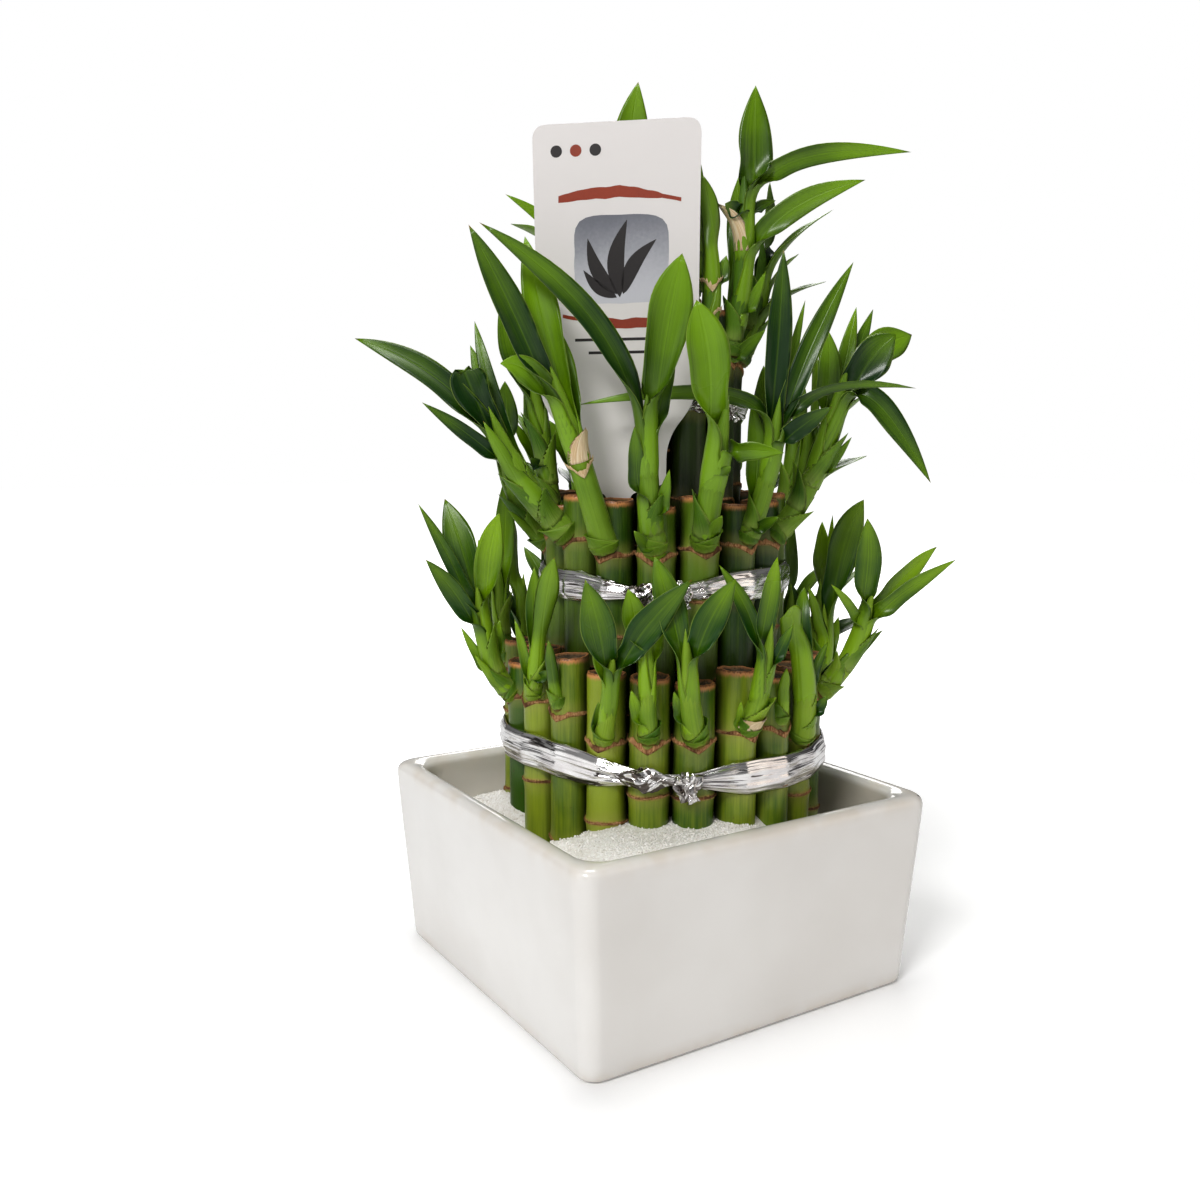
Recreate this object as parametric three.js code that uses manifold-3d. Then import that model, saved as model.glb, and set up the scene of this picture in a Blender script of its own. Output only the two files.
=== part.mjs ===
// Lucky bamboo: three tiers of cut canes in a square glazed pot of white sand.
// Millimetres, +Z up. The origin is the middle of the pot's underside, and the
// pot's faces look along X and Y.
import * as THREE from 'three';
import { mergeVertices } from 'three/addons/utils/BufferGeometryUtils.js';
import Module from 'manifold-3d';

const wasm = await Module();
wasm.setup();

const GAP = 0.35;
const DEGREE = Math.PI / 180;

// The pot: half widths are measured across the flats.
const POT = {
  height: 69, footHalf: 66.5, rimHalf: 71, innerHalf: 63, floorHalf: 62,
  floor: 10, outerCorner: 6, innerCorner: 11, footRound: 1.5,
};

// The plant stands a little off the pot's middle and is turned to it. In its own
// frame x is right, y is away, and a heading is an angle from the front (-y)
// towards the right.
const PLANT = { x: 4, y: -3.2, turn: -32 };
const STAND = 20;
const CANE_SIDES = 8;
const SHOOT_SIDES = 5;

// One ring of canes per tier. nodes are the usual heights of the ringed nodes.
const TIERS = {
  outer: {
    count: 22, radius: 50.2, first: -7.5, shift: [0, 0], thick: 6.55, ringed: 6.95,
    top: 116, node: 98, tone: 0x76932f,
  },
  middle: {
    count: 16, radius: 36.2, first: 16, shift: [0, 0], thick: 6.45, ringed: 6.85,
    top: 171, node: 156, tone: 0x4f7424,
  },
  inner: {
    count: 10, radius: 20.6, first: 18, shift: [0.7, 1.3], thick: 5.9, ringed: 6.2,
    top: 232, node: 218, tone: 0x3f6220,
  },
  core: {
    count: 3, radius: 7.6, first: 40, shift: [0.7, 1.3], thick: 6.0, ringed: 6.25,
    top: 244, node: 239, tone: 0x3f6220,
  },
};

// How the shoots that nothing is known of grow: reach of the shoot and of its
// leaves, outwards and upwards from the node.
const HABIT = {
  outer: { rise: 28, lean: 5, leafOut: 24, leafUp: 62, width: 9, thick: [3.3, 2.6] },
  middle: { rise: 32, lean: 7, leafOut: 24, leafUp: 66, width: 10, thick: [3.5, 2.8] },
  inner: { rise: 34, lean: 6, leafOut: 26, leafUp: 66, width: 10, thick: [3.2, 2.6] },
  core: { rise: 20, lean: 1, leafOut: 8, leafUp: 46, width: 8, thick: [2.9, 2.4] },
};

// A leaf springs at a fraction of its shoot and runs to its tip, given right,
// away and up. arch is how far it first follows the shoot, roll turns its face.
const leaf = (at, right, away, up, width, arch, roll = 0) => (
  { at, tip: [right, away, up], width, arch, roll });

// The shoots that were looked at one by one. cane counts round the tier from its
// first cane, turn is the heading that the shoot leaves its cane at.
const SHOOTS = [
  {
    tier: 'outer', cane: -5, node: 110, turn: -95, bow: [-59, 4, 119], top: [-59, 4, 137], thick: [3.2, 2.6],
    leaves: [leaf(1, -56, 8, 180, 7.5, 0.4), leaf(1, -67, 10, 155, 7, 0.4)],
  },
  {
    tier: 'outer', cane: -4, node: 103, turn: -80, bow: [-60, -20, 108], top: [-63, -22, 132], thick: [3.7, 2.8],
    leaves: [
      leaf(1, -83, -26, 170, 5, 0.3), leaf(0.85, -80, -32, 152, 7.5, 0.35),
      leaf(1, -76, -12, 171, 12, 0.45), leaf(1, -56, -26, 167, 10, 0.5),
    ],
  },
  {
    tier: 'outer', cane: -3, node: 105, turn: -60, bow: [-44, -38, 112], top: [-43, -38, 125], thick: [2.9, 2.3],
    leaves: [leaf(1, -37, -46, 154, 8, 0.5), leaf(0.9, -44, -36, 150, 6, 0.4)],
  },
  {
    tier: 'outer', cane: -2, node: 103, turn: -40, bow: [-37, -43, 108], top: [-37.5, -44.5, 114], thick: [2.6, 1.8],
    leaves: [leaf(0.9, -39, -48, 128, 4, 0.3)],
  },
  {
    tier: 'outer', cane: -1, node: 95, turn: -24, bow: [-20, -61, 104], top: [-19, -62, 120], thick: [3.6, 2.8],
    leaves: [
      leaf(0.95, -22, -72, 149, 10.5, 0.4, 10), leaf(0.85, -27, -62, 149, 6, 0.35, -25),
      leaf(1, 3, -68, 149, 10, 0.4, 15),
    ],
  },
  {
    tier: 'outer', cane: 0, node: 96, turn: -7, bow: [-8, -62, 108], top: [-8, -62, 126], thick: [3.6, 2.7],
    leaves: [leaf(1, -14, -62, 146, 8.5, 0.4), leaf(0.9, -3, -56, 141, 6, 0.4, 30)],
  },
  {
    tier: 'outer', cane: 1, node: 96, turn: 9, bow: [5, -65, 108], top: [5, -66, 124], thick: [4.3, 3.3],
    leaves: [leaf(1, -6, -60, 156, 10.5, 0.45), leaf(1, 18, -70, 150, 10.5, 0.4)],
  },
  {
    tier: 'outer', cane: 2, node: 98, turn: 55, bow: [27, -58, 107], top: [29, -60, 124], thick: [3.6, 2.8],
    leaves: [leaf(1, 14, -58, 153, 5.5, 0.35), leaf(1, 31, -64, 156, 7.5, 0.45, 20)],
  },
  {
    tier: 'outer', cane: 3, node: 98, turn: 42, bow: [37, -43, 103], top: [37, -44.5, 108], thick: [2.6, 1.8],
    leaves: [leaf(0.9, 37, -49, 119, 4, 0.3)],
  },
  {
    tier: 'outer', cane: 4, node: 92, turn: 50, bow: [46, -40, 99], top: [43, -42, 122], thick: [4.2, 3.4],
    leaves: [leaf(1, 37, -50, 138, 9, 0.9, 20), leaf(1, 45, -32, 143, 5, 0.6)],
  },
  {
    tier: 'outer', cane: 5, node: 102, turn: 82, bow: [65, -14, 111], top: [69, -16, 129], thick: [3.7, 3.0],
    leaves: [
      leaf(1, 67, -24, 165, 9.5, 0.5), leaf(0.97, 96, -6, 154, 8.5, 0.3, 20),
      leaf(0.97, 98, -22, 151, 6, 0.25, 10), leaf(0.1, 77, -10, 125, 5.5, 0.2),
    ],
  },
  {
    tier: 'outer', cane: 6, node: 102, turn: 95, bow: [60, 2, 107], top: [59, 2, 122], thick: [3.2, 2.6],
    leaves: [leaf(1, 72, 4, 170, 13, 0.6), leaf(0.6, 65, 8, 127, 5, 0.2)],
  },
  {
    tier: 'middle', cane: -5, node: 153, turn: -100, bow: [-53, 0, 163], top: [-56, -4, 186], thick: [3.4, 2.8],
    leaves: [leaf(1, -55, -10, 211, 8, 0.5), leaf(1, -68, 2, 224, 7, 0.4)],
  },
  {
    tier: 'middle', cane: -4, node: 160, turn: -70, bow: [-41, -14, 183], top: [-44, -14, 203], thick: [3.6, 3.0],
    leaves: [leaf(1, -56, -12, 238, 11, 0.4), leaf(1, -43, -6, 235, 8, 0.4)],
  },
  {
    tier: 'middle', cane: -3, node: 158, turn: -75, bow: [-46, -30, 171], top: [-53, -31, 188], thick: [4.5, 3.6],
    leaves: [
      leaf(1, -103, -24, 224, 9, 0.5), leaf(1, -67, -40, 212, 12, 0.9), leaf(0.9, -80, -33, 203, 5.5, 0.15),
      leaf(0.7, -60, -36, 197, 5, 0.15), leaf(1, -64, -20, 230, 5, 0.4),
    ],
  },
  {
    tier: 'middle', cane: -2, node: 154, turn: -50, bow: [-26, -46, 175], top: [-34, -47, 201], thick: [4.4, 3.4],
    leaves: [
      leaf(1, -62, -52, 255, 12.5, 0.4), leaf(0.97, -46, -38, 254, 12, 0.4),
      leaf(0.95, -49, -56, 217, 9, 0.8), leaf(0.85, -35, -40, 225, 8, 0.4),
    ],
  },
  {
    tier: 'middle', cane: -1, node: 154, turn: -8, bow: [-8, -49, 173], top: [-8, -49, 193], thick: [3.9, 3.2],
    leaves: [
      leaf(1, 2, -56, 246, 15, 0.45), leaf(0.95, -59, -50, 256, 8.5, 0.45),
      leaf(0.45, -12, -54, 195, 5.5, 0.4), leaf(0.95, 1, -45, 217, 5.5, 0.4),
    ],
  },
  {
    tier: 'middle', cane: 0, node: 156, turn: 14, bow: [11, -51, 170], top: [14, -53, 188], thick: [3.9, 4.0],
    leaves: [leaf(1, 6, -60, 232, 14, 0.5), leaf(1, 33, -60, 187, 7, 0.2, 40)],
  },
  {
    tier: 'middle', cane: 1, node: 157, turn: 45, bow: [31, -40, 173], top: [33, -41, 193], thick: [3.3, 2.9],
    leaves: [
      leaf(1, 35, -38, 250, 8.5, 0.4), leaf(0.95, 58, -33, 247, 7.5, 0.35), leaf(1, -30, -36, 202, 5, 0.35),
      leaf(0.9, 49, -50, 201, 7, 0.2),
    ],
  },
  {
    tier: 'middle', cane: 2, node: 157, turn: 65, bow: [49, -22, 171], top: [56, -24, 203], thick: [3.7, 3.3],
    leaves: [
      leaf(1, 74, -26, 225, 14, 0.6), leaf(1, 85, -34, 177, 8.5, 0.5), leaf(0.95, 63, -16, 235, 6, 0.3),
      leaf(0.97, 70, -10, 235, 5.5, 0.3), leaf(0.85, 53, -20, 227, 9, 0.4),
    ],
  },
  {
    tier: 'inner', cane: -2, node: 214, turn: -75, bow: [-27, -10, 230], top: [-27, -9, 246], thick: [3.1, 2.5],
    leaves: [leaf(1, -54, -12, 272, 5, 0.4), leaf(0.9, -45, -8, 268, 5, 0.3), leaf(1, -24, -6, 286, 8, 0.4)],
  },
  {
    tier: 'inner', cane: -1, node: 229, turn: -120, bow: [-10, -16, 243], top: [-10, -14, 258], thick: [3.0, 2.5],
    leaves: [
      leaf(1, -10, -14, 307, 8, 0.4), leaf(0.8, -22, -15, 284, 7, 0.3), leaf(0.9, 1, -14, 282, 7, 0.3),
    ],
  },
  {
    tier: 'inner', cane: 0, node: 216, turn: 60, bow: [16, -22, 233], top: [13, -21, 252], thick: [3.3, 2.8],
    leaves: [leaf(1, 11, -21, 276, 6.5, 0.5), leaf(0.7, 19, -20, 251, 5, 0.2)],
  },
  {
    tier: 'inner', cane: 1, node: 218, turn: 60, bow: [26, -18, 237], top: [25, -17, 267], thick: [3.5, 3.0],
    leaves: [
      leaf(1, 28, -17, 305, 12.5, 0.5), leaf(1, 79, -18, 284, 7, 0.42, 25),
      leaf(0.65, 63, -24, 274, 8.5, 0.45, 10), leaf(0.95, 18, -22, 267, 6, 0.2),
      leaf(0.02, 32, -22, 227, 5, 0.1),
    ],
  },
];

// Canes whose cut top stands higher or lower than their tier's.
const CUT = { outer: { '-3': 122, '-2': 121, '-5': 120 }, middle: { '-3': 172.5 }, inner: { '-1': 238, '-2': 224, 0: 228 } };

// The foil ribbon round each tier: height of its middle, its full width, and the
// heading of its twisted knot.
const TIES = {
  lower: { tier: 'outer', up: 82.5, fall: -2.5, width: 12.5, knot: 5 },
  middle: { tier: 'middle', up: 142, fall: 0.8, width: 11, knot: 4 },
  upper: { tier: 'inner', up: 202, fall: 0, width: 9, knot: 45 },
};
const FOIL = 0.6;

// The tag stands in front of the inner ring, turned a little to the left.
const TAG = {
  turn: -9, across: -12.4, back: 26.3, thick: 0.7, lean: 0.5,
  top: 292, headHalf: 27.4, headLow: 205, neck: 189, stemHalf: 16, stemLow: 176.5,
  stakeHalf: 4, stakeTop: 173, point: 122, corner: 6,
};

// Small helpers for solids.

/** Repeatable random numbers from 0 to 1. */
function randomFrom(seed) {
  let state = (seed * 7919 + 104729) >>> 0;
  return () => {
    state = (Math.imul(state, 1664525) + 1013904223) >>> 0;
    return state / 4294967296;
  };
}

/** Point at a distance from the plant's axis on a heading. */
function around(radius, heading, up) {
  const angle = heading * DEGREE;
  return new THREE.Vector3(radius * Math.sin(angle), -radius * Math.cos(angle), up);
}

/** Closed surface through rings of points. A ring of one point is a tip. */
function skin(rings, { closed = false, mirrored = false } = {}) {
  const points = rings.flat();
  const starts = [];
  rings.reduce((sum, ring) => { starts.push(sum); return sum + ring.length; }, 0);
  const faces = [];
  const quad = (a, b, c, d, flip) => {
    if (flip) faces.push(a, b, d, b, c, d);
    else faces.push(a, b, c, a, c, d);
  };
  const spans = closed ? rings.length : rings.length - 1;
  for (let i = 0; i < spans; i += 1) {
    const next = (i + 1) % rings.length;
    const [low, high] = [starts[i], starts[next]];
    const sides = Math.max(rings[i].length, rings[next].length);
    for (let j = 0; j < sides; j += 1) {
      const k = (j + 1) % sides;
      if (rings[next].length === 1) faces.push(low + j, low + k, high);
      else if (rings[i].length === 1) faces.push(low, high + k, high + j);
      else quad(low + j, low + k, high + k, high + j, mirrored && j >= sides / 2);
    }
  }
  if (!closed) {
    for (let j = 1; j < rings[0].length - 1; j += 1) faces.push(starts[0], starts[0] + j + 1, starts[0] + j);
    const last = rings.length - 1;
    for (let j = 1; j < rings[last].length - 1; j += 1) faces.push(starts[last], starts[last] + j, starts[last] + j + 1);
  }
  const geometry = new THREE.BufferGeometry().setFromPoints(points);
  geometry.setIndex(faces);
  return facingOut(geometry);
}

/** Turns a closed indexed geometry's faces outwards. */
function facingOut(geometry) {
  const p = geometry.attributes.position;
  const index = geometry.index.array;
  const corner = (i) => new THREE.Vector3().fromBufferAttribute(p, index[i]);
  let volume = 0;
  for (let i = 0; i < index.length; i += 3) {
    volume += corner(i).dot(corner(i + 1).cross(corner(i + 2)));
  }
  if (volume < 0) {
    for (let i = 0; i < index.length; i += 3) [index[i], index[i + 1]] = [index[i + 1], index[i]];
  }
  return geometry;
}

/** A closed geometry as a solid that can be joined to others. */
function solid(geometry) {
  const bare = geometry.clone();
  bare.deleteAttribute('normal');
  bare.deleteAttribute('uv');
  const merged = mergeVertices(bare, 1e-4);
  return new wasm.Manifold(new wasm.Mesh({
    numProp: 3,
    vertProperties: Float32Array.from(merged.attributes.position.array),
    triVerts: Uint32Array.from(merged.index.array),
  }));
}

/** Several closed geometries joined in one. */
function joined(geometries) {
  const whole = geometries.map(solid).reduce((sum, next) => sum.add(next));
  const mesh = whole.getMesh();
  const geometry = new THREE.BufferGeometry();
  geometry.setAttribute('position', new THREE.BufferAttribute(mesh.vertProperties, 3));
  geometry.setIndex(new THREE.BufferAttribute(mesh.triVerts, 1));
  return geometry;
}

/** Ring of a round section at a point of a curve, square to its direction. */
function ringAt(centre, direction, radius, sides) {
  const side = new THREE.Vector3(-direction.y, direction.x, 0);
  if (side.lengthSq() < 1e-6) side.set(1, 0, 0);
  side.normalize();
  const up = new THREE.Vector3().crossVectors(direction, side).normalize();
  return Array.from({ length: sides }, (_, i) => {
    const angle = 2 * Math.PI * i / sides;
    return centre.clone()
      .addScaledVector(side, radius * Math.cos(angle))
      .addScaledVector(up, radius * Math.sin(angle));
  });
}

// The plant.

/** Axis of a cane at a height, in the plant's frame. */
function caneAxis(tier, number, up) {
  const { count, radius, first, shift } = TIERS[tier];
  const heading = first + number * 360 / count;
  return around(radius, heading, up).add(new THREE.Vector3(shift[0], shift[1], 0));
}

/** A bare cane: a turned rod that swells at its nodes. */
function caneBody(tier, number, node) {
  const { thick, ringed, top } = TIERS[tier];
  const cut = CUT[tier]?.[number] ?? top + 2 * Math.sin(2.4 * number + top);
  const profile = [
    [0, STAND], [thick, STAND], [thick, node - 3], [ringed, node], [thick, cut], [0, cut],
  ].map(([r, z]) => new THREE.Vector2(r, z));
  const geometry = new THREE.LatheGeometry(profile, CANE_SIDES);
  geometry.rotateX(Math.PI / 2);
  const axis = caneAxis(tier, number, 0);
  return geometry.translate(axis.x, axis.y, 0);
}

/** Centre line of a shoot, from inside its cane to its tip. */
function shootLine(shoot) {
  const root = caneAxis(shoot.tier, shoot.cane, shoot.node).add(around(3.5, shoot.turn, 0));
  return new THREE.QuadraticBezierCurve3(root, new THREE.Vector3(...shoot.bow), new THREE.Vector3(...shoot.top));
}

/** The round stem of a shoot, ending in a rolled young leaf. */
function shootStem(shoot, line) {
  const steps = 2;
  const rings = [];
  for (let i = 0; i <= steps; i += 1) {
    const t = i / steps;
    const radius = THREE.MathUtils.lerp(shoot.thick[0], shoot.thick[1], t);
    rings.push(ringAt(line.getPoint(t), line.getTangent(t), radius, SHOOT_SIDES));
  }
  const tip = line.getPoint(1).addScaledVector(line.getTangent(1), 3 * shoot.thick[1]);
  rings.push([tip]);
  return skin(rings);
}

// Width of a blade along its length, as shares of its length and full width.
const OUTLINE = [[0, 0.45], [0.38, 1], [0.74, 0.7]];
const RIB = 1.3;
const FOLD = 0.13;

/** A thin lance-shaped blade, folded along its middle rib. */
function blade(spec, line, thick, facing) {
  const at = Math.min(spec.at, 0.95);
  const along = line.getTangent(at);
  const tip = new THREE.Vector3(...spec.tip);
  const root = line.getPoint(at);
  const outward = tip.clone().sub(root).projectOnPlane(along).normalize();
  root.addScaledVector(outward, 0.5 * THREE.MathUtils.lerp(thick[0], thick[1], at));
  const middle = root.clone().addScaledVector(along, spec.arch * root.distanceTo(tip));
  const rib = new THREE.QuadraticBezierCurve3(root, middle, tip);
  const rings = OUTLINE.map(([t, share]) => {
    const centre = rib.getPoint(t);
    const direction = rib.getTangent(t);
    const side = new THREE.Vector3().crossVectors(direction, facing).normalize();
    side.applyAxisAngle(direction, spec.roll * DEGREE);
    const front = new THREE.Vector3().crossVectors(side, direction).normalize();
    const half = 0.5 * spec.width * share;
    const lift = FOLD * spec.width * share;
    const thick = RIB * (1 - 0.35 * t) / 2;
    return [
      centre.clone().addScaledVector(side, -half).addScaledVector(front, lift),
      centre.clone().addScaledVector(front, thick),
      centre.clone().addScaledVector(side, half).addScaledVector(front, lift),
      centre.clone().addScaledVector(front, -thick),
    ];
  });
  rings.push([tip]);
  return skin(rings, { mirrored: true });
}

// Where a habit shoot's leaves spring, and the shares of its reach out and up.
const HABIT_LEAVES = [[0.5, 0.75, 0.42], [0.7, 0.45, 0.62], [0.85, 0.8, 0.75], [1, 0.1, 1]];

/** A shoot that grows by its tier's habit, for a cane that isn't listed. */
function habitShoot(tier, number) {
  const { count, first, radius, ringed, node } = TIERS[tier];
  const habit = HABIT[tier];
  const random = randomFrom(100 * radius + number);
  const heading = first + number * 360 / count;
  const height = node + 4 * (random() - 0.5);
  const [shiftX, shiftY] = TIERS[tier].shift;
  const spot = (out, side, up) => {
    const point = around(out, heading, up).add(around(side, heading + 90, 0));
    return [point.x + shiftX, point.y + shiftY, up];
  };
  const edge = radius + ringed;
  const top = height + habit.rise * (0.9 + 0.2 * random());
  const stations = HABIT_LEAVES.slice(tier === 'core' ? 1 : 0);
  const leaves = stations.map(([at, out, up], i) => {
    const hand = i % 2 ? 1 : -1;
    const side = hand * (2 + 3.5 * random());
    const reach = edge + habit.lean + habit.leafOut * out * (0.8 + 0.4 * random());
    const tip = spot(reach, side, height + habit.leafUp * up * (0.9 + 0.2 * random()));
    return leaf(at, ...tip, habit.width * (0.75 + 0.35 * random()), 0.42, 25 * hand * random());
  });
  return {
    tier, cane: number, node: height, turn: heading, bow: spot(edge + habit.lean, 0, height + 0.35 * habit.rise),
    top: spot(edge + habit.lean, 1.5 * (random() - 0.5), top), thick: habit.thick, leaves, heading,
  };
}

/** One cane with its shoot and leaves, grown together. */
function cane(tier, number) {
  const shoot = SHOOTS.find((s) => s.tier === tier && s.cane === number) ?? habitShoot(tier, number);
  const line = shootLine(shoot);
  const facing = shoot.heading === undefined ? new THREE.Vector3(0, -1, 0.15) : around(1, shoot.heading, 0.2);
  const blades = shoot.leaves.map((spec) => blade(spec, line, shoot.thick, facing));
  return joined([caneBody(tier, number, shoot.node), shootStem(shoot, line), ...blades]);
}

/** Rounded lump of twisted foil on a tie, with two short ends of ribbon. */
function knot(radius, heading, up) {
  const girth = [[-8.5, 1], [-4, 2.6], [1, 3.3], [5, 2.6], [8, 1]];
  const along = around(1, heading + 90, 0);
  const roll = skin(girth.map(([side, thick]) => (
    ringAt(around(radius + 0.5 * thick, heading, up).addScaledVector(along, side), along, thick, 6))));
  const end = (side, drop) => {
    const foot = around(radius + 1.5, heading, up).addScaledVector(along, side / 3);
    const tip = around(radius + 4, heading, up + drop).addScaledVector(along, side);
    const direction = tip.clone().sub(foot).normalize();
    return skin([ringAt(foot, direction, 1.6, 4), ringAt(tip, direction, 1.1, 4)]);
  };
  return [roll, end(3, -6.5), end(6, 6)];
}

/** Ribbon round a tier, rolled narrow near its knot. */
function tie({ tier, up, fall, width, knot: heading }) {
  const { count, radius, first, thick, shift } = TIERS[tier];
  const half = Math.PI / count;
  const inner = (radius * Math.cos(half) + thick + GAP) / Math.cos(half);
  const rings = Array.from({ length: count }, (_, i) => {
    const turn = first + i * 360 / count;
    const off = Math.abs(((turn - heading + 540) % 360) - 180);
    const open = THREE.MathUtils.smoothstep(off, 4, 40);
    const high = width * (0.4 + 0.6 * open) / 2;
    const outer = inner + FOIL + 1.4 * (1 - open);
    const middle = up + fall * Math.sin(turn * DEGREE);
    return [
      around(inner, turn, middle - high), around(outer, turn, middle - high),
      around(outer, turn, middle + high), around(inner, turn, middle + high),
    ];
  });
  const middle = up + fall * Math.sin(heading * DEGREE);
  const geometry = joined([skin(rings, { closed: true }), ...knot(inner + FOIL + 1.6, heading, middle)]);
  return geometry.translate(shift[0], shift[1], 0);
}

/** Flat outline of the tag, drawn upright round its own middle line. */
function tagOutline() {
  const t = TAG;
  const shape = new THREE.Shape();
  shape.moveTo(0, t.point);
  shape.lineTo(t.stakeHalf, t.point + 12);
  shape.lineTo(t.stakeHalf, t.stakeTop);
  shape.lineTo(t.stemHalf, t.stemLow);
  shape.lineTo(t.stemHalf, t.neck);
  shape.quadraticCurveTo(t.stemHalf + 1, t.neck + 7, t.headHalf - 1, t.headLow);
  shape.lineTo(t.headHalf, t.top - t.corner);
  shape.quadraticCurveTo(t.headHalf, t.top, t.headHalf - t.corner, t.top);
  shape.lineTo(t.corner - t.headHalf, t.top);
  shape.quadraticCurveTo(-t.headHalf, t.top, -t.headHalf, t.top - t.corner);
  shape.lineTo(1 - t.headHalf, t.headLow);
  shape.quadraticCurveTo(-t.stemHalf - 1, t.neck + 7, -t.stemHalf, t.neck);
  shape.lineTo(-t.stemHalf, t.stemLow);
  shape.lineTo(-t.stakeHalf, t.stakeTop);
  shape.lineTo(-t.stakeHalf, t.point + 12);
  return shape;
}

/** The printed plastic tag. */
function tagGeometry() {
  const geometry = new THREE.ExtrudeGeometry(tagOutline(), {
    depth: TAG.thick, bevelEnabled: false, curveSegments: 3, steps: 1,
  });
  geometry.translate(0, -TAG.stakeTop, 0).rotateZ(TAG.lean * DEGREE).translate(0, TAG.stakeTop, 0);
  return geometry;
}

// The pot and the sand.

/** Ring of points on a square with rounded corners. */
function squareRing(half, corner, up) {
  const points = [];
  for (let quarter = 0; quarter < 4; quarter += 1) {
    const start = quarter * Math.PI / 2;
    const middle = new THREE.Vector2(half - corner, half - corner)
      .rotateAround(new THREE.Vector2(), start);
    for (let i = 0; i <= 4; i += 1) {
      const angle = start + i * Math.PI / 8;
      points.push(new THREE.Vector3(middle.x + corner * Math.cos(angle), middle.y + corner * Math.sin(angle), up));
    }
  }
  return points;
}

/** The pot: one wall from its underside over the rim to its floor inside. */
function potGeometry() {
  const p = POT;
  return skin([
    squareRing(p.footHalf - p.footRound, p.outerCorner - p.footRound, 0),
    squareRing(p.footHalf, p.outerCorner, p.footRound),
    squareRing(p.rimHalf - 0.2, p.outerCorner, p.height - 4),
    squareRing(p.rimHalf - 0.9, p.outerCorner, p.height - 1.2),
    squareRing(p.rimHalf - 2.6, p.outerCorner, p.height),
    squareRing(p.innerHalf + 2.2, p.innerCorner, p.height),
    squareRing(p.innerHalf + 0.6, p.innerCorner, p.height - 1.2),
    squareRing(p.innerHalf, p.innerCorner, p.height - 4),
    squareRing(p.floorHalf, p.innerCorner, p.floor),
  ]);
}

/** Distance from the plant's axis to a rounded square, along a heading. */
function reachToSquare(heading, half, corner) {
  const direction = around(1, heading + PLANT.turn, 0);
  const inside = (t) => {
    const x = Math.abs(PLANT.x + direction.x * t) - (half - corner);
    const y = Math.abs(PLANT.y + direction.y * t) - (half - corner);
    return Math.max(x, y) <= corner && (x <= 0 || y <= 0 || Math.hypot(x, y) <= corner);
  };
  let [low, high] = [0, 2 * half];
  for (let i = 0; i < 40; i += 1) {
    const middle = (low + high) / 2;
    if (inside(middle)) low = middle;
    else high = middle;
  }
  return low;
}

/** The sand: a mound in the pot with one scalloped hole that the canes stand in. */
function sandGeometry() {
  const { count, radius, first, ringed } = TIERS.outer;
  const step = 360 / count;
  const clear = ringed + GAP;
  const hole = [];
  for (let i = 0; i < count; i += 1) {
    const heading = first + i * step;
    const wide = clear / Math.cos(30 * DEGREE);
    const notch = radius * Math.cos(step / 2 * DEGREE) + Math.sqrt(wide ** 2 - (radius * Math.sin(step / 2 * DEGREE)) ** 2);
    for (const side of [-30, 30]) {
      const point = around(radius, heading, 0).add(around(wide, heading + side, 0));
      hole.push({ out: Math.hypot(point.x, point.y), heading: Math.atan2(point.x, -point.y) / DEGREE });
    }
    hole.push({ out: notch, heading: heading + step / 2 });
  }
  const ring = (out, up) => hole.map((h) => {
    const point = around(out(h), h.heading + PLANT.turn, up(0.5 + 0.5 * Math.cos(h.heading * DEGREE)));
    return point.add(new THREE.Vector3(PLANT.x, PLANT.y, 0));
  });
  const wall = (up) => {
    const share = (up - POT.floor) / (POT.height - 4 - POT.floor);
    return THREE.MathUtils.lerp(POT.floorHalf, POT.innerHalf, share) - GAP;
  };
  const edge = (up) => (h) => reachToSquare(h.heading, wall(up), POT.innerCorner);
  const bottom = POT.floor + GAP;
  return skin([
    ring(edge(bottom), () => bottom),
    ring(edge(52), (front) => 50 + 15.5 * front ** 2),
    ring((h) => 0.25 * edge(52)(h) + 0.75 * (h.out + 0.4), (front) => 62 + 5.5 * front),
    ring((h) => h.out, (front) => 64 + 4 * front),
    ring((h) => h.out, () => STAND - GAP),
  ]);
}

// Assembly.

const COLOURS = { pot: 0xe4e0dc, sand: 0xd8d3cb, foil: 0xd8d8dc, tag: 0xdcd8d6 };

/** A named piece with its own finish. */
function piece(name, geometry, color, roughness, metalness = 0) {
  const mesh = new THREE.Mesh(geometry, new THREE.MeshStandardMaterial({ color, roughness, metalness }));
  mesh.name = name;
  return mesh;
}

/** All the canes of a tier, numbered round it from one. */
function tierOfCanes(tier) {
  const { count, tone } = TIERS[tier];
  const digits = count > 9 ? 2 : 1;
  return Array.from({ length: count }, (_, i) => {
    const number = i > count / 2 ? i - count : i;
    const name = `cane_${tier}_${String(i + 1).padStart(digits, '0')}`;
    return piece(name, cane(tier, number), tone, 0.42);
  });
}

const plant = new THREE.Group();
plant.position.set(PLANT.x, PLANT.y, 0);
plant.rotation.z = PLANT.turn * DEGREE;
for (const tier of Object.keys(TIERS)) plant.add(...tierOfCanes(tier));
for (const [name, spec] of Object.entries(TIES)) {
  plant.add(piece(`tie_${name}`, tie(spec), COLOURS.foil, 0.25, 0.9));
}

const tagPlace = new THREE.Group();
tagPlace.rotation.z = TAG.turn * DEGREE;
const tag = piece('tag', tagGeometry(), COLOURS.tag, 0.35);
tag.position.set(TAG.across, -TAG.back, 0);
tag.rotation.x = Math.PI / 2;
tagPlace.add(tag);
plant.add(tagPlace);

const lucky = new THREE.Group();
lucky.add(piece('pot', potGeometry(), COLOURS.pot, 0.15));
lucky.add(piece('sand', sandGeometry(), COLOURS.sand, 0.9));
lucky.add(plant);

export default lucky;
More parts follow.
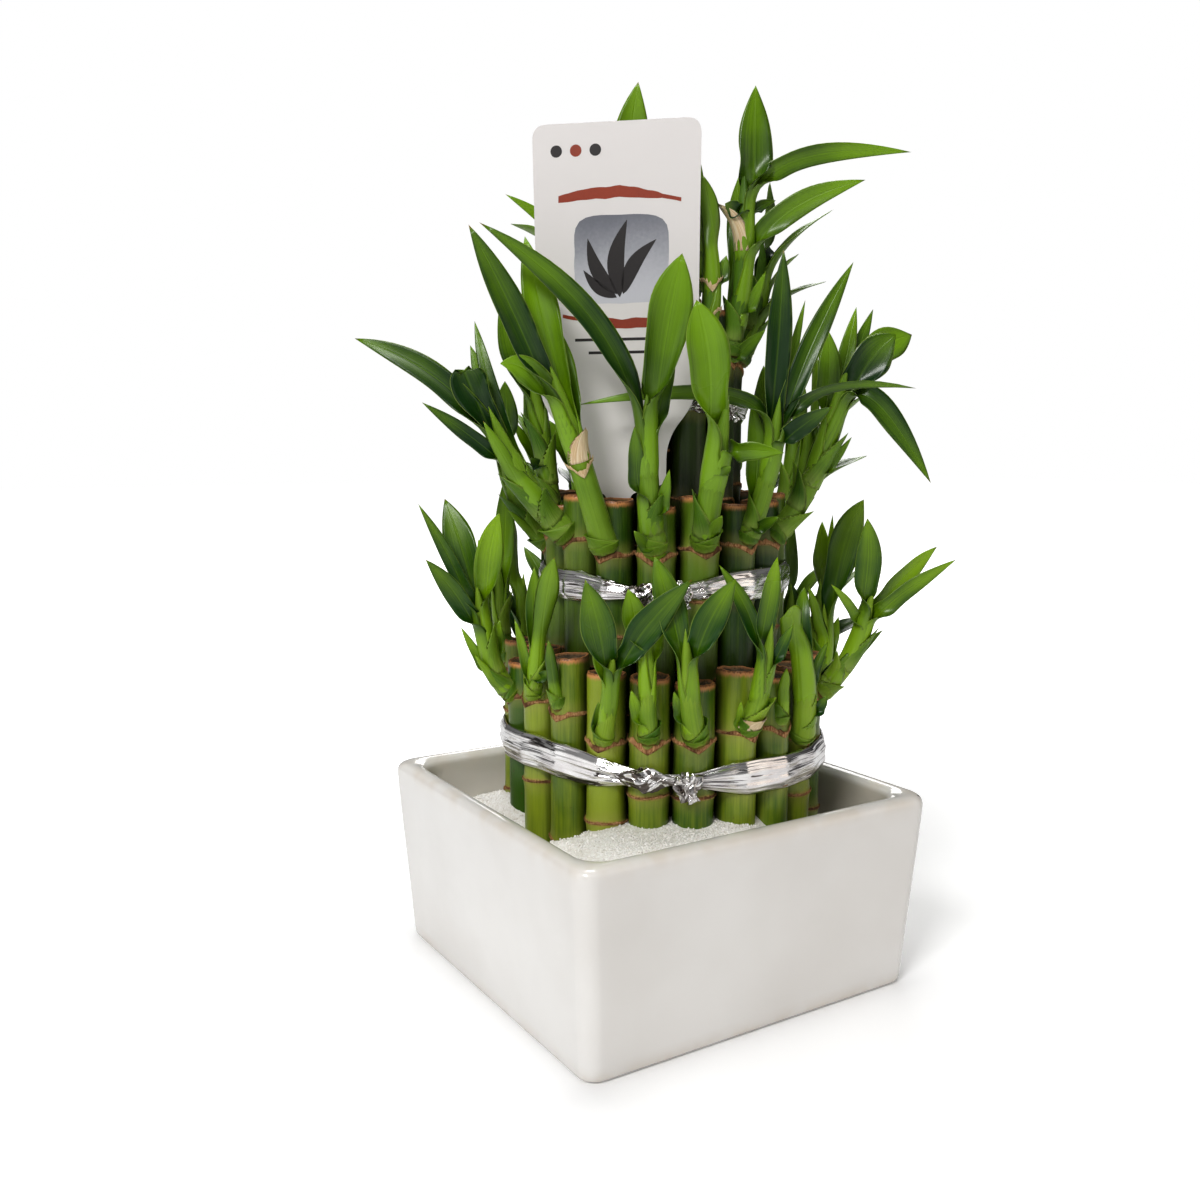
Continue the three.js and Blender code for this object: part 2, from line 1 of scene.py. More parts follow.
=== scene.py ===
"""Looks of a lucky bamboo: a three-tier tower of cut canes in a square glazed pot of white sand.

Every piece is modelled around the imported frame. Plant sizes are in millimetres in the plant's own
frame (x right, y away, z up, turned to the pot), and they become metres in the part's frame when a
piece is finished.
"""

import logging
import math
from dataclasses import dataclass, field
from enum import Enum, IntEnum
from typing import Callable, Iterable, Sequence

import bmesh
import bpy
from mathutils import Matrix, Vector, noise


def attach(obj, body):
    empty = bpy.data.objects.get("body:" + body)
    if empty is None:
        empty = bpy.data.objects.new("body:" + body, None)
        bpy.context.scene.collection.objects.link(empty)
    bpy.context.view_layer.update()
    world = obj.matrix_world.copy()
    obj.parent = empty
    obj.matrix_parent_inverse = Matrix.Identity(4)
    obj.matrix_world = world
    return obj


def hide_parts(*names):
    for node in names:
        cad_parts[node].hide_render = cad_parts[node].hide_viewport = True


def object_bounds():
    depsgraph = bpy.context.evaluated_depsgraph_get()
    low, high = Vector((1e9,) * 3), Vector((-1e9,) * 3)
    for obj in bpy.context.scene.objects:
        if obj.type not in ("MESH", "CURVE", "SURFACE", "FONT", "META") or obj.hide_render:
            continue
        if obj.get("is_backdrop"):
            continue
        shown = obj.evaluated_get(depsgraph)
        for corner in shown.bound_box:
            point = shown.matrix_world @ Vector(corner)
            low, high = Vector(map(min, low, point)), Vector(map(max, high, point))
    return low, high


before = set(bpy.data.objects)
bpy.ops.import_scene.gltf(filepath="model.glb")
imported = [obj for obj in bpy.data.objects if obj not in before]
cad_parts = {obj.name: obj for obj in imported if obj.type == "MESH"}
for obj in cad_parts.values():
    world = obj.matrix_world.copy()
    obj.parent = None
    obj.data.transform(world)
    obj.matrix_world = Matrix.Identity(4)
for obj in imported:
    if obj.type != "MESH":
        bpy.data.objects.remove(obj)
FRAME_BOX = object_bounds()

log = logging.getLogger("lucky_bamboo")

Colour = tuple[float, float, float, float]
Triple = tuple[float, float, float]
Pair = tuple[float, float]
Ring = tuple[float, float, float, float]
Placed = tuple[Vector, Triple]
Place = Callable[[float, float], Placed]
Edge = Callable[[float, int], float]
Socket = bpy.types.NodeSocket
Material = bpy.types.Material
Object = bpy.types.Object

MM = 0.001
FULL_TURN = 2 * math.pi
ABOUT_A_TURN = 6.28
PLANT_PLACE = Vector((4.0, -3.2, 0.0))
PLANT_TURN = math.radians(-32)
SAND_FLOOR = 20.0
FACING_FRONT = Vector((0.0, -1.0, 0.15))
FAR = 99.0


class Coat(IntEnum):
    """The finishes of a cane's piece, in the order of its materials."""

    SKIN = 0
    CUT_FACE = 1
    SHOOT = 2
    LEAF = 3
    HUSK = 4


class Ink(IntEnum):
    """The finishes of the tag, in the order of its materials."""

    SHEET = 0
    WARM = 1
    GREY = 2
    DARK = 3


def srgb(red: int, green: int, blue: int) -> Colour:
    """Returns a display colour (0 to 255 each) as a linear colour for a shader."""

    def linear(value: float) -> float:
        """Returns one channel in linear light."""
        share = value / 255
        return share / 12.92 if share <= 0.04045 else ((share + 0.055) / 1.055) ** 2.4

    return (linear(red), linear(green), linear(blue), 1.0)


def smooth(low: float, high: float, value: float) -> float:
    """Returns 0 below low and 1 above high, with a soft step between them."""
    share = min(1.0, max(0.0, (value - low) / (high - low)))
    return share * share * (3 - 2 * share)


def around(radius: float, heading: float, up: float) -> Vector:
    """Returns a point of the plant's frame.

    Args:
        radius: distance from the plant's axis, in mm.
        heading: angle from the front towards the right, in degrees.
        up: height, in mm.

    Returns:
        The point, in mm.
    """
    angle = math.radians(heading)
    return Vector((radius * math.sin(angle), -radius * math.cos(angle), up))


def blend(first: float, last: float, share: float) -> float:
    """Returns the value at a share of the way from the first to the last."""
    return first + (last - first) * share


def bell(off: float, reach: float) -> float:
    """Returns a soft hump: 1 where off is 0, and almost 0 at twice its reach."""
    return math.exp(-((off / reach) ** 2))


def half_turn(angle: float, full: float = 360.0) -> float:
    """Returns an angle brought to within half a turn of 0. Full is a whole turn in its unit."""
    return (angle + full / 2) % full - full / 2


def folded(u: float) -> float:
    """Returns the place across a thin sheet: -1 to 1 over its front, and back to -1 over its back."""
    return -1 + 4 * u if u <= 0.5 else 3 - 4 * u


def lens(cross: float) -> float:
    """Returns the thickness of a lens across its width: 0 at its edges, -1 and 1, and 1 in its middle."""
    return math.sqrt(max(0.0, 1 - cross * cross))


def swung(first: Vector, second: Vector, angle: float) -> Vector:
    """Returns the direction at an angle from one direction towards another, in radians."""
    return first * math.cos(angle) + second * math.sin(angle)


def right_of(way: Vector) -> Vector:
    """Returns the direction to the right of a stem that grows that way, seen from the front."""
    return way.cross(Vector((0, -1, 0.02))).normalized()


def faces_of(verts: Iterable[bmesh.types.BMVert]) -> set[bmesh.types.BMFace]:
    """Returns every face that touches one of the vertices."""
    return {face for vert in verts for face in vert.link_faces}


def verts_in(geometry: Iterable[object]) -> list[bmesh.types.BMVert]:
    """Returns the vertices of a mixed list of mesh elements."""
    return [item for item in geometry if isinstance(item, bmesh.types.BMVert)]


class Chance:
    """Repeatable random numbers from 0 to 1."""

    def __init__(self, seed: float) -> None:
        """Starts the row of numbers of a seed."""
        self.state = int(seed * 7919 + 104729) & 0xFFFFFFFF

    def __call__(self) -> float:
        """Returns the next number."""
        self.state = (self.state * 1664525 + 1013904223) & 0xFFFFFFFF
        return self.state / 4294967296

    def between(self, low: float, high: float) -> float:
        """Returns the next number, from low to high."""
        return low + (high - low) * self()


@dataclass
class Curve3:
    """A quadratic curve through space: a shoot's stem or a leaf's middle rib."""

    start: Vector
    bow: Vector
    end: Vector

    def point(self, t: float) -> Vector:
        """Returns the point at a share of the curve's length."""
        return self.start * (1 - t) ** 2 + self.bow * (2 * t * (1 - t)) + self.end * t * t

    def heading(self, t: float) -> Vector:
        """Returns the unit direction at a share of the curve's length."""
        way = (self.bow - self.start) * (1 - t) + (self.end - self.bow) * t
        return way.normalized() if way.length > 1e-9 else Vector((0, 0, 1))


def show(name: str, data: bpy.types.ID) -> Object:
    """Adds an object with that data to the scene and returns it."""
    made = bpy.data.objects.new(name, data)
    bpy.context.scene.collection.objects.link(made)
    return made


class Moulder:
    """Gathers the surfaces of one piece in a bmesh and turns them into a finished object."""

    def __init__(self, name: str) -> None:
        """Starts an empty piece of that name."""
        self.name = name
        self.mesh = bmesh.new()
        self.uv = self.mesh.loops.layers.uv.new("UVMap")
        self.grain = self.mesh.verts.layers.float_vector.new("grain")
        self.marks = self.mesh.verts.layers.float_vector.new("marks")

    def drape(
        self,
        across: int,
        along: int,
        place: Place,
        paint: Callable[[float, float], int] | int = 0,
        marks: Callable[[float, float], Triple] | None = None,
    ) -> list[bmesh.types.BMVert]:
        """Lays a grid of faces on a surface and closes its seams and poles.

        Args:
            across: faces along u.
            along: faces along v.
            place: gives the point in mm and the grain vector at u and v, both 0 to 1.
            paint: the number of its finish, or what gives it at a face's u and v.
            marks: gives the marks vector at u and v.

        Returns:
            The grid's vertices that are left after closing.
        """
        made = bmesh.ops.create_grid(
            self.mesh, x_segments=across, y_segments=along, size=0.5, calc_uvs=True
        )["verts"]
        for face in faces_of(made):
            middle = face.calc_center_median()
            face.material_index = paint(middle.x + 0.5, middle.y + 0.5) if callable(paint) else paint
            face.smooth = True
        for vert in made:
            u, v = vert.co.x + 0.5, vert.co.y + 0.5
            vert.co, vert[self.grain] = place(u, v)
            if marks:
                vert[self.marks] = marks(u, v)
        bmesh.ops.remove_doubles(self.mesh, verts=made, dist=1e-4)
        return [vert for vert in made if vert.is_valid]

    def finish(
        self, finishes: Sequence[Material], slot: str, nodes: Iterable[str], turned: bool
    ) -> Object:
        """Makes the object, in metres in the part's frame, and fits it to the part.

        Args:
            finishes: its materials, in the order that paint numbers them.
            slot: the record's material slot; not used.
            nodes: the nodes that it stands for.
            turned: whether it was built in the plant's frame.

        Returns:
            The object.
        """
        place = Matrix.Diagonal((MM, MM, MM, 1))
        if turned:
            place = place @ Matrix.Translation(PLANT_PLACE) @ Matrix.Rotation(PLANT_TURN, 4, "Z")
        bmesh.ops.transform(self.mesh, matrix=place, verts=self.mesh.verts)
        bmesh.ops.recalc_face_normals(self.mesh, faces=self.mesh.faces)
        data = bpy.data.meshes.new(self.name)
        self.mesh.to_mesh(data)
        self.mesh.free()
        for finish in finishes:
            data.materials.append(finish)
        piece = show(self.name, data)
        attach(piece, "root")
        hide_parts(*nodes)
        log.info("%s: %d faces", self.name, len(data.polygons))
        return piece


class Bench:
    """A small language for writing a node tree."""

    def __init__(self, tree: bpy.types.NodeTree) -> None:
        """Takes the tree to write in."""
        self.tree = tree

    def node(self, kind: str, **inputs: object) -> bpy.types.Node:
        """Adds a node.

        Args:
            kind: its type, without the ShaderNode prefix.
            inputs: properties of the node, or inputs by name with _ for a blank.

        Returns:
            The node.
        """
        made = self.tree.nodes.new("ShaderNode" + kind)
        for key, value in inputs.items():
            if hasattr(made, key):
                setattr(made, key, value)
            else:
                self.feed(made.inputs[key.replace("_", " ")], value)
        return made

    def feed(self, socket: Socket, value: object) -> None:
        """Links a socket, or sets it where the value is a number or a colour."""
        if isinstance(value, Socket):
            self.tree.links.new(value, socket)
        else:
            socket.default_value = value

    def math(self, operation: str, first: object, second: object = 0.5) -> Socket:
        """Returns the result of a sum on one or two values."""
        made = self.node("Math", operation=operation)
        self.feed(made.inputs[0], first)
        self.feed(made.inputs[1], second)
        return made.outputs[0]

    def plus(self, first: object, second: object) -> Socket:
        """Returns the sum of two values."""
        return self.math("ADD", first, second)

    def minus(self, first: object, second: object) -> Socket:
        """Returns the first value less the second."""
        return self.math("SUBTRACT", first, second)

    def times(self, first: object, second: object) -> Socket:
        """Returns the product of two values."""
        return self.math("MULTIPLY", first, second)

    def swing(self, value: object, size: float) -> Socket:
        """Returns a value from 0 to 1 as a swing of that size about 0."""
        return self.times(self.minus(value, 0.5), size)

    def step(
        self, value: object, low: float, high: float, start: float = 0, end: float = 1, soft: bool = True
    ) -> Socket:
        """Returns a soft or an even step from start to end, as a value goes from low to high."""
        made = self.node("MapRange", interpolation_type="SMOOTHSTEP" if soft else "LINEAR", Value=value)
        for name, item in zip(("From Min", "From Max", "To Min", "To Max"), (low, high, start, end)):
            self.feed(made.inputs[name], item)
        return made.outputs["Result"]

    def seen(self) -> Socket:
        """Returns 1 for what the camera sees itself, and 0 in reflections."""
        return self.node("LightPath").outputs["Is Camera Ray"]


class Paintbox(Bench):
    """Writes a material with one Principled shader."""

    def __init__(self, name: str) -> None:
        """Starts the material."""
        self.material = bpy.data.materials.new(name)
        self.material.use_nodes = True
        super().__init__(self.material.node_tree)
        self.shader = self.tree.nodes["Principled BSDF"]

    def layers(self, ground: object, *coats: tuple[object, object]) -> Socket:
        """Returns a ground colour with coats laid over it, each a share and a colour."""
        for share, colour in coats:
            made = self.node("Mix", data_type="RGBA")
            for index, item in ((0, share), (6, ground), (7, colour)):
                self.feed(made.inputs[index], item)
            ground = made.outputs[2]
        return ground

    def noise(self, where: object, scale: float, detail: float = 3, rough: float = 0.5) -> Socket:
        """Returns a cloudy noise from 0 to 1."""
        made = self.node("TexNoise", Scale=scale, Detail=detail, Roughness=rough, Vector=where)
        return made.outputs["Fac"]

    def grained(self, vector: object, scale: Triple, detail: float = 3, rough: float = 0.5) -> Socket:
        """Returns a noise of a piece's own grain, stretched unevenly for streaks."""
        made = self.node("Mapping", Vector=vector, Scale=scale)
        return self.noise(made.outputs[0], 1.0, detail, rough)

    def cells(self, where: object, scale: float) -> Socket:
        """Returns the distance to scattered points."""
        return self.node("TexVoronoi", Scale=scale, Vector=where).outputs["Distance"]

    def attribute(self, name: str) -> tuple[Socket, list[Socket]]:
        """Returns a piece's own vector and its three parts."""
        made = self.node("Attribute", attribute_name=name)
        parts = self.node("SeparateXYZ", Vector=made.outputs["Vector"])
        return made.outputs["Vector"], list(parts.outputs)

    def place(self) -> Socket:
        """Returns the place on the piece, in metres."""
        return self.node("TexCoord").outputs["Object"]

    def bump(self, height: object, strength: float, depth: float, over: object = None) -> Socket:
        """Returns a normal raised by a height, over another normal if one is given."""
        made = self.node("Bump", Strength=strength, Distance=depth, Height=height)
        if over is not None:
            self.feed(made.inputs["Normal"], over)
        return made.outputs[0]

    def dress(self, **inputs: object) -> Material:
        """Feeds the shader's sockets by name, with _ for a blank, and returns the material."""
        for key, value in inputs.items():
            self.feed(self.shader.inputs[key.replace("_", " ")], value)
        return self.material


@dataclass(frozen=True)
class CaneFinish:
    """Living cane skin: streaked green with corky brown node rings and a split rim, darkened with painted
    shade between canes.
    """

    name: str
    pale: Colour
    deep: Colour
    scar_cream: Colour = srgb(168, 164, 84)
    fibre_tan: Colour = srgb(188, 142, 92)
    ring_brown: Colour = srgb(116, 70, 36)
    rim_tan: Colour = srgb(206, 144, 92)
    rim_brown: Colour = srgb(120, 76, 46)
    speck_brown: Colour = srgb(88, 62, 30)
    # painted shade: near black green for the skin between canes and below the row in front
    painted_shade_colour: Colour = srgb(14, 20, 5)

    def build(self) -> Material:
        """Returns the material."""
        box = Paintbox(self.name)
        vector, (_, _, tone) = box.attribute("grain")
        _, (scar, rim, painted_shade_depth) = box.attribute("marks")
        streak = box.grained(vector, (26, 0.05, 9), 4)
        cloud = box.noise(box.place(), 55, 2)
        fine = box.grained(vector, (70, 0.35, 9), 3, 0.7)
        shade = box.plus(box.times(streak, 0.55), box.times(cloud, 0.55))
        shade = box.plus(shade, box.swing(tone, 0.75))
        near = box.math("MAXIMUM", box.plus(scar, box.swing(fine, 1.2)), 0)
        edge = box.plus(rim, box.swing(fine, 2.4))
        ring = box.step(near, 0.15, 0.6, 1, 0)
        dots = box.step(box.cells(box.place(), 420), 0.05, 0.16, 1, 0)
        skin = box.layers(
            self.pale,
            (box.step(shade, 0.25, 0.85), self.deep),
            (box.step(near, 0.8, 6.0, 0.3, 0), self.scar_cream),
            (box.times(box.step(near, 0.4, 1.3, 1, 0), box.step(fine, 0.38, 0.62)), self.fibre_tan),
            (box.times(ring, box.step(cloud, 0.25, 0.5, 0.55, 1)), self.ring_brown),
            (box.step(edge, 0.7, 2.3, 1, 0), self.rim_tan),
            (box.step(edge, 0.0, 0.7, 1, 0), self.rim_brown),
            (box.times(box.times(dots, box.step(cloud, 0.5, 0.62)), 0.6), self.speck_brown),
            # painted shade laid over the skin where the cane faces its neighbours or lies below the row in
            # front
            (box.times(painted_shade_depth, 0.9), self.painted_shade_colour),
        )
        height = box.plus(box.times(fine, 0.5), box.times(ring, 0.8))
        return box.dress(
            Base_Color=skin,
            Roughness=box.step(near, 0.4, 1.6, 0.75, 0.3),
            Normal=box.bump(height, 0.45, 0.0004, box.bump(streak, 0.2, 0.0006)),
            Coat_Weight=0.1,
            Coat_Roughness=0.2,
            Specular_IOR_Level=0.42,
        )


@dataclass(frozen=True)
class LeafFinish:
    """Glossy strap leaf: deep green with fine veins, a pale rib and a lighter back."""

    name: str
    fresh: Colour
    deep: Colour
    back_green: Colour = srgb(126, 158, 52)
    edge_green: Colour = srgb(176, 200, 96)
    tip_brown: Colour = srgb(150, 110, 52)

    def build(self) -> Material:
        """Returns the material."""
        box = Paintbox(self.name)
        vector, (across, along, tone) = box.attribute("grain")
        _, (back, _, _) = box.attribute("marks")
        side = box.math("ABSOLUTE", across)
        cloud = box.noise(box.place(), 34, 3)
        vein = box.grained(vector, (30, 1.0, 13), 2, 0.55)
        shade = box.plus(box.times(tone, 0.7), box.times(cloud, 0.85))
        shade = box.minus(shade, box.step(along, -0.1, 0.22, 0.55, 0))
        shade = box.minus(shade, box.step(along, 0.4, 0.95, 0, 0.3))
        shade = box.plus(shade, box.step(side, 0.3, 0.95, 0, 0.16))
        shade = box.plus(shade, box.swing(vein, 0.42))
        green = box.layers(
            self.fresh,
            (box.step(shade, 0.15, 1.15), self.deep),
            (box.step(side, 0.0, 0.12, 0.18, 0), self.fresh),
            (box.times(back, 0.3), self.back_green),
            # painted light: a thin pale line along the edge stands for light shining through the thin leaf
            # edge
            (box.step(side, 0.93, 1.0, 0, 0.55), self.edge_green),
            (box.times(box.step(along, 0.975, 1.0), box.step(cloud, 0.4, 0.6)), self.tip_brown),
        )
        height = box.plus(box.times(vein, 0.2), box.times(box.step(side, 0.0, 0.1), 0.7))
        return box.dress(
            Base_Color=green,
            Roughness=box.step(cloud, 0.3, 0.7, 0.26, 0.38),
            Normal=box.bump(height, 0.3, 0.0005),
            Coat_Weight=0.06,
            Coat_Roughness=0.14,
            Specular_IOR_Level=0.38,
        )


@dataclass(frozen=True)
class ShootFinish:
    """Young stem and its clasping sheaths: fresh green, pale at the base, with dry edges."""

    name: str
    fresh: Colour
    deep: Colour
    base_green: Colour = srgb(166, 186, 96)
    edge_green: Colour = srgb(178, 200, 96)
    tip_brown: Colour = srgb(150, 116, 62)
    foot_brown: Colour = srgb(112, 70, 36)
    dry_cream: Colour = srgb(232, 216, 184)
    dry_tan: Colour = srgb(204, 176, 134)

    def build(self) -> Material:
        """Returns the material."""
        box = Paintbox(self.name)
        vector, (across, along, tone) = box.attribute("grain")
        _, (dry, base, _) = box.attribute("marks")
        side = box.math("ABSOLUTE", across)
        cloud = box.noise(box.place(), 70, 2)
        vein = box.grained(vector, (22, 1.4, 11))
        shade = box.plus(box.times(tone, 0.7), box.times(cloud, 0.5))
        shade = box.plus(shade, box.swing(vein, 0.5))
        green = box.layers(
            self.fresh,
            (box.step(shade, 0.15, 0.95), self.deep),
            (box.step(along, 0.0, 0.45, 0.4, 0), self.base_green),
            (box.times(box.step(side, 0.8, 1.0), box.step(vein, 0.3, 0.6, 0.1, 0.5)), self.edge_green),
            (box.times(box.step(along, 0.95, 1.0), box.step(cloud, 0.35, 0.6, 0.0, 0.5)), self.tip_brown),
            (box.step(base, 0.6, 2.6, 0.9, 0), self.foot_brown),
            (dry, box.layers(self.dry_cream, (box.step(vein, 0.35, 0.65), self.dry_tan))),
        )
        return box.dress(
            Base_Color=green,
            Roughness=box.step(dry, 0.0, 1.0, 0.38, 0.75),
            Normal=box.bump(vein, 0.4, 0.0006),
            Subsurface_Weight=0.1,
            Subsurface_Radius=(0.6, 1.0, 0.2),
            Subsurface_Scale=0.002,
            Specular_IOR_Level=0.3,
        )


@dataclass(frozen=True)
class HuskFinish:
    """Dry torn leaf edge: papery, tan to dark brown, or cream where it is fresh."""

    name: str = "dry_husk"
    tan: Colour = srgb(192, 150, 106)
    brown: Colour = srgb(124, 80, 48)
    dark: Colour = srgb(66, 38, 22)
    cream: Colour = srgb(226, 208, 170)
    straw: Colour = srgb(190, 158, 116)

    def build(self) -> Material:
        """Returns the material."""
        box = Paintbox(self.name)
        vector, _ = box.attribute("grain")
        _, (pale, _, _) = box.attribute("marks")
        fibre = box.grained(vector, (30, 0.8, 3), 3, 0.7)
        cloud = box.noise(box.place(), 160, 3)
        colour = box.layers(
            self.tan,
            (box.step(fibre, 0.35, 0.65), self.brown),
            (box.step(cloud, 0.5, 0.7, 0, 0.8), self.dark),
            (pale, box.layers(self.cream, (box.step(fibre, 0.3, 0.7), self.straw))),
        )
        normal = box.bump(fibre, 0.5, 0.0004)
        return box.dress(Base_Color=colour, Roughness=0.8, Normal=normal, Specular_IOR_Level=0.2)


@dataclass(frozen=True)
class CutFinish:
    """Dried cut face of a cane: dark pith with rays and a corky tan edge."""

    name: str = "cut_face"
    pith: Colour = srgb(48, 36, 26)
    ray: Colour = srgb(112, 88, 62)
    pit: Colour = srgb(24, 20, 16)
    cork: Colour = srgb(184, 124, 76)
    moss: Colour = srgb(70, 76, 34)

    def build(self) -> Material:
        """Returns the material."""
        box = Paintbox(self.name)
        _, (_, _, tone) = box.attribute("grain")
        _, (_, rim, _) = box.attribute("marks")
        coarse = box.noise(box.place(), 260, 4, 0.7)
        pits = box.cells(box.place(), 900)
        edge = box.plus(rim, box.times(coarse, 1.4))
        skin = box.layers(
            self.pith,
            (box.step(coarse, 0.35, 0.7), self.ray),
            (box.step(pits, 0.1, 0.4, 0.6, 0), self.pit),
            (box.step(edge, 0.9, 2.0, 1, 0), self.cork),
            (box.times(tone, 0.25), self.moss),
        )
        normal = box.bump(box.plus(coarse, pits), 0.6, 0.0008)
        return box.dress(Base_Color=skin, Roughness=0.85, Normal=normal)


@dataclass(frozen=True)
class GlazeFinish:
    """White pottery glaze: glossy, a little uneven, thinner and warmer along edges, and darker inside the
    pot as painted shade.
    """

    name: str = "white_glaze"
    white: Colour = srgb(236, 234, 231)
    milk: Colour = srgb(227, 224, 220)
    # painted shade colour for the inside of the pot
    inner: Colour = srgb(166, 157, 140)
    clay: Colour = srgb(214, 202, 186)
    pinhole: Colour = srgb(64, 58, 52)

    def build(self) -> Material:
        """Returns the material."""
        box = Paintbox(self.name)
        where = box.place()
        cloud = box.noise(where, 14, 3)
        fine = box.noise(where, 90, 2)
        _, (edge, inside, _) = box.attribute("marks")
        pin = box.times(box.step(box.cells(where, 42), 0.018, 0.034, 1, 0), box.step(cloud, 0.5, 0.56))
        colour = box.layers(
            self.white,
            (box.step(cloud, 0.3, 0.7), self.milk),
            # painted shade: the glaze is darkened inside the pot
            (box.times(inside, box.step(cloud, 0.2, 0.8, 0.45, 0.7)), self.inner),
            (box.times(edge, box.step(fine, 0.35, 0.65, 0.1, 0.5)), self.clay),
            (box.times(pin, 0.8), self.pinhole),
        )
        height = box.plus(box.times(cloud, 1.0), box.times(fine, 0.12))
        return box.dress(
            Base_Color=colour,
            Roughness=box.step(fine, 0.3, 0.7, 0.16, 0.24),
            Normal=box.bump(height, 0.16, 0.003),
            Coat_Weight=0.5,
            Coat_Roughness=0.08,
            Specular_IOR_Level=0.5,
        )


@dataclass(frozen=True)
class SandFinish:
    """Fine washed sand: off-white grains with a few darker ones."""

    name: str = "white_sand"
    white: Colour = srgb(252, 250, 247)
    chalk: Colour = srgb(238, 234, 228)
    stone: Colour = srgb(176, 164, 146)
    damp: Colour = srgb(224, 218, 206)

    def build(self) -> Material:
        """Returns the material."""
        box = Paintbox(self.name)
        where = box.place()
        grains = box.node("TexVoronoi", Scale=1500.0, Vector=where)
        pick = box.node("SeparateColor", Color=grains.outputs["Color"])
        cloud = box.noise(where, 60, 4)
        colour = box.layers(
            self.white,
            (box.step(pick.outputs[0], 0.0, 1.0), self.chalk),
            (box.step(pick.outputs[1], 0.95, 0.98, 0, 0.4), self.stone),
            (box.step(cloud, 0.45, 0.8, 0, 0.3), self.damp),
        )
        normal = box.bump(box.minus(box.times(cloud, 1.5), grains.outputs["Distance"]), 0.6, 0.0005)
        return box.dress(Base_Color=colour, Roughness=0.9, Normal=normal, Specular_IOR_Level=0.3)


@dataclass(frozen=True)
class FoilFinish:
    """Silver gift ribbon: mirror bright film with long fine creases, its dark streaks and darker twists
    painted in as dark reflections.
    """

    name: str = "silver_foil"
    silver: Colour = srgb(250, 249, 248)
    haze: Colour = srgb(228, 224, 224)
    # the next three colours are painted dark reflections: in the creases, in fine lines and in the twists
    crease: Colour = srgb(66, 56, 50)
    dark_line_reflection: Colour = srgb(96, 90, 90)
    twist_dark_reflection: Colour = srgb(72, 60, 50)

    def build(self) -> Material:
        """Returns the material."""
        box = Paintbox(self.name)
        vector, (_, _, twist) = box.attribute("grain")
        pleat = box.grained(vector, (1.9, 0.03, 1.0), 3, 0.55)
        crinkle = box.noise(box.place(), 120, 2)
        streak = box.grained(vector, (0.55, 0.032, 1.0), 4, 0.6)
        fine = box.grained(vector, (3.4, 0.02, 1.0), 2)
        deep = box.step(box.grained(vector, (1.3, 0.3, 1.0), 2), 0.44, 0.5, 0, 0.9)
        colour = box.layers(
            self.silver,
            (box.step(crinkle, 0.3, 0.7), self.haze),
            # painted reflections: dark streaks along the creases and fine lines
            (box.step(streak, 0.575, 0.61, 0, 0.9), self.crease),
            (box.step(fine, 0.61, 0.65, 0, 0.65), self.dark_line_reflection),
            # painted reflection: the twisted rope and part of the knot darkened
            (box.times(deep, box.step(twist, 0.5, 3.0)), self.twist_dark_reflection),
        )
        normal = box.bump(box.plus(pleat, box.times(crinkle, 0.06)), 0.4, 0.0009)
        rough = box.step(crinkle, 0.3, 0.7, 0.1, 0.16)
        return box.dress(Base_Color=colour, Metallic=1.0, Roughness=rough, Normal=normal)


@dataclass(frozen=True)
class PlasticFinish:
    """Printed sheet plastic of the tag, or one of its inks."""

    name: str
    colour: Colour
    second: Colour
    ragged: float = 0.0

    def build(self) -> Material:
        """Returns the material."""
        box = Paintbox(self.name)
        where = box.place()
        cloud = box.noise(where, 26, 3)
        _, (fade, _, _) = box.attribute("marks")
        grit = box.times(box.noise(where, 900, 2), self.ragged)
        worn = box.plus(box.plus(box.times(cloud, 0.5), fade), grit)
        return box.dress(
            Base_Color=box.layers(self.colour, (box.step(worn, 0.25, 1.2), self.second)),
            Roughness=box.step(cloud, 0.3, 0.7, 0.3, 0.33),
            Normal=box.bump(cloud, 0.02, 0.002),
            Specular_IOR_Level=0.5,
        )


class Tier(Enum):
    """The rings of canes, from the rim of the tower to its middle."""

    OUTER = "outer"
    MIDDLE = "middle"
    INNER = "inner"
    CORE = "core"


OUTER, MIDDLE, INNER, CORE = Tier


@dataclass(frozen=True)
class Habit:
    """How far a shoot that wasn't looked at one by one reaches from its node, in mm."""

    rise: float
    lean: float
    leaf_out: float
    leaf_up: float
    width: float
    thick: Pair


@dataclass(frozen=True)
class Row:
    """One ring of canes: its place and the sizes that its canes share, in mm and degrees.

    Thick is a cane's radius and ringed its radius at a node. The top is the usual height of its cut, the
    node that of its shoot, and below the heights in shaded it lies behind the row in front, where its skin
    is painted darker as shade.
    """

    count: int
    radius: float
    first: float
    shift: Pair
    thick: float
    ringed: float
    top: float
    node: float
    shaded: Pair
    habit: Habit

    def heading(self, number: int) -> float:
        """Returns the heading of a cane."""
        return self.first + number * 360 / self.count

    def axis(self, number: int, up: float) -> Vector:
        """Returns the point of a cane's axis at a height."""
        return around(self.radius, self.heading(number), up) + Vector((*self.shift, 0))


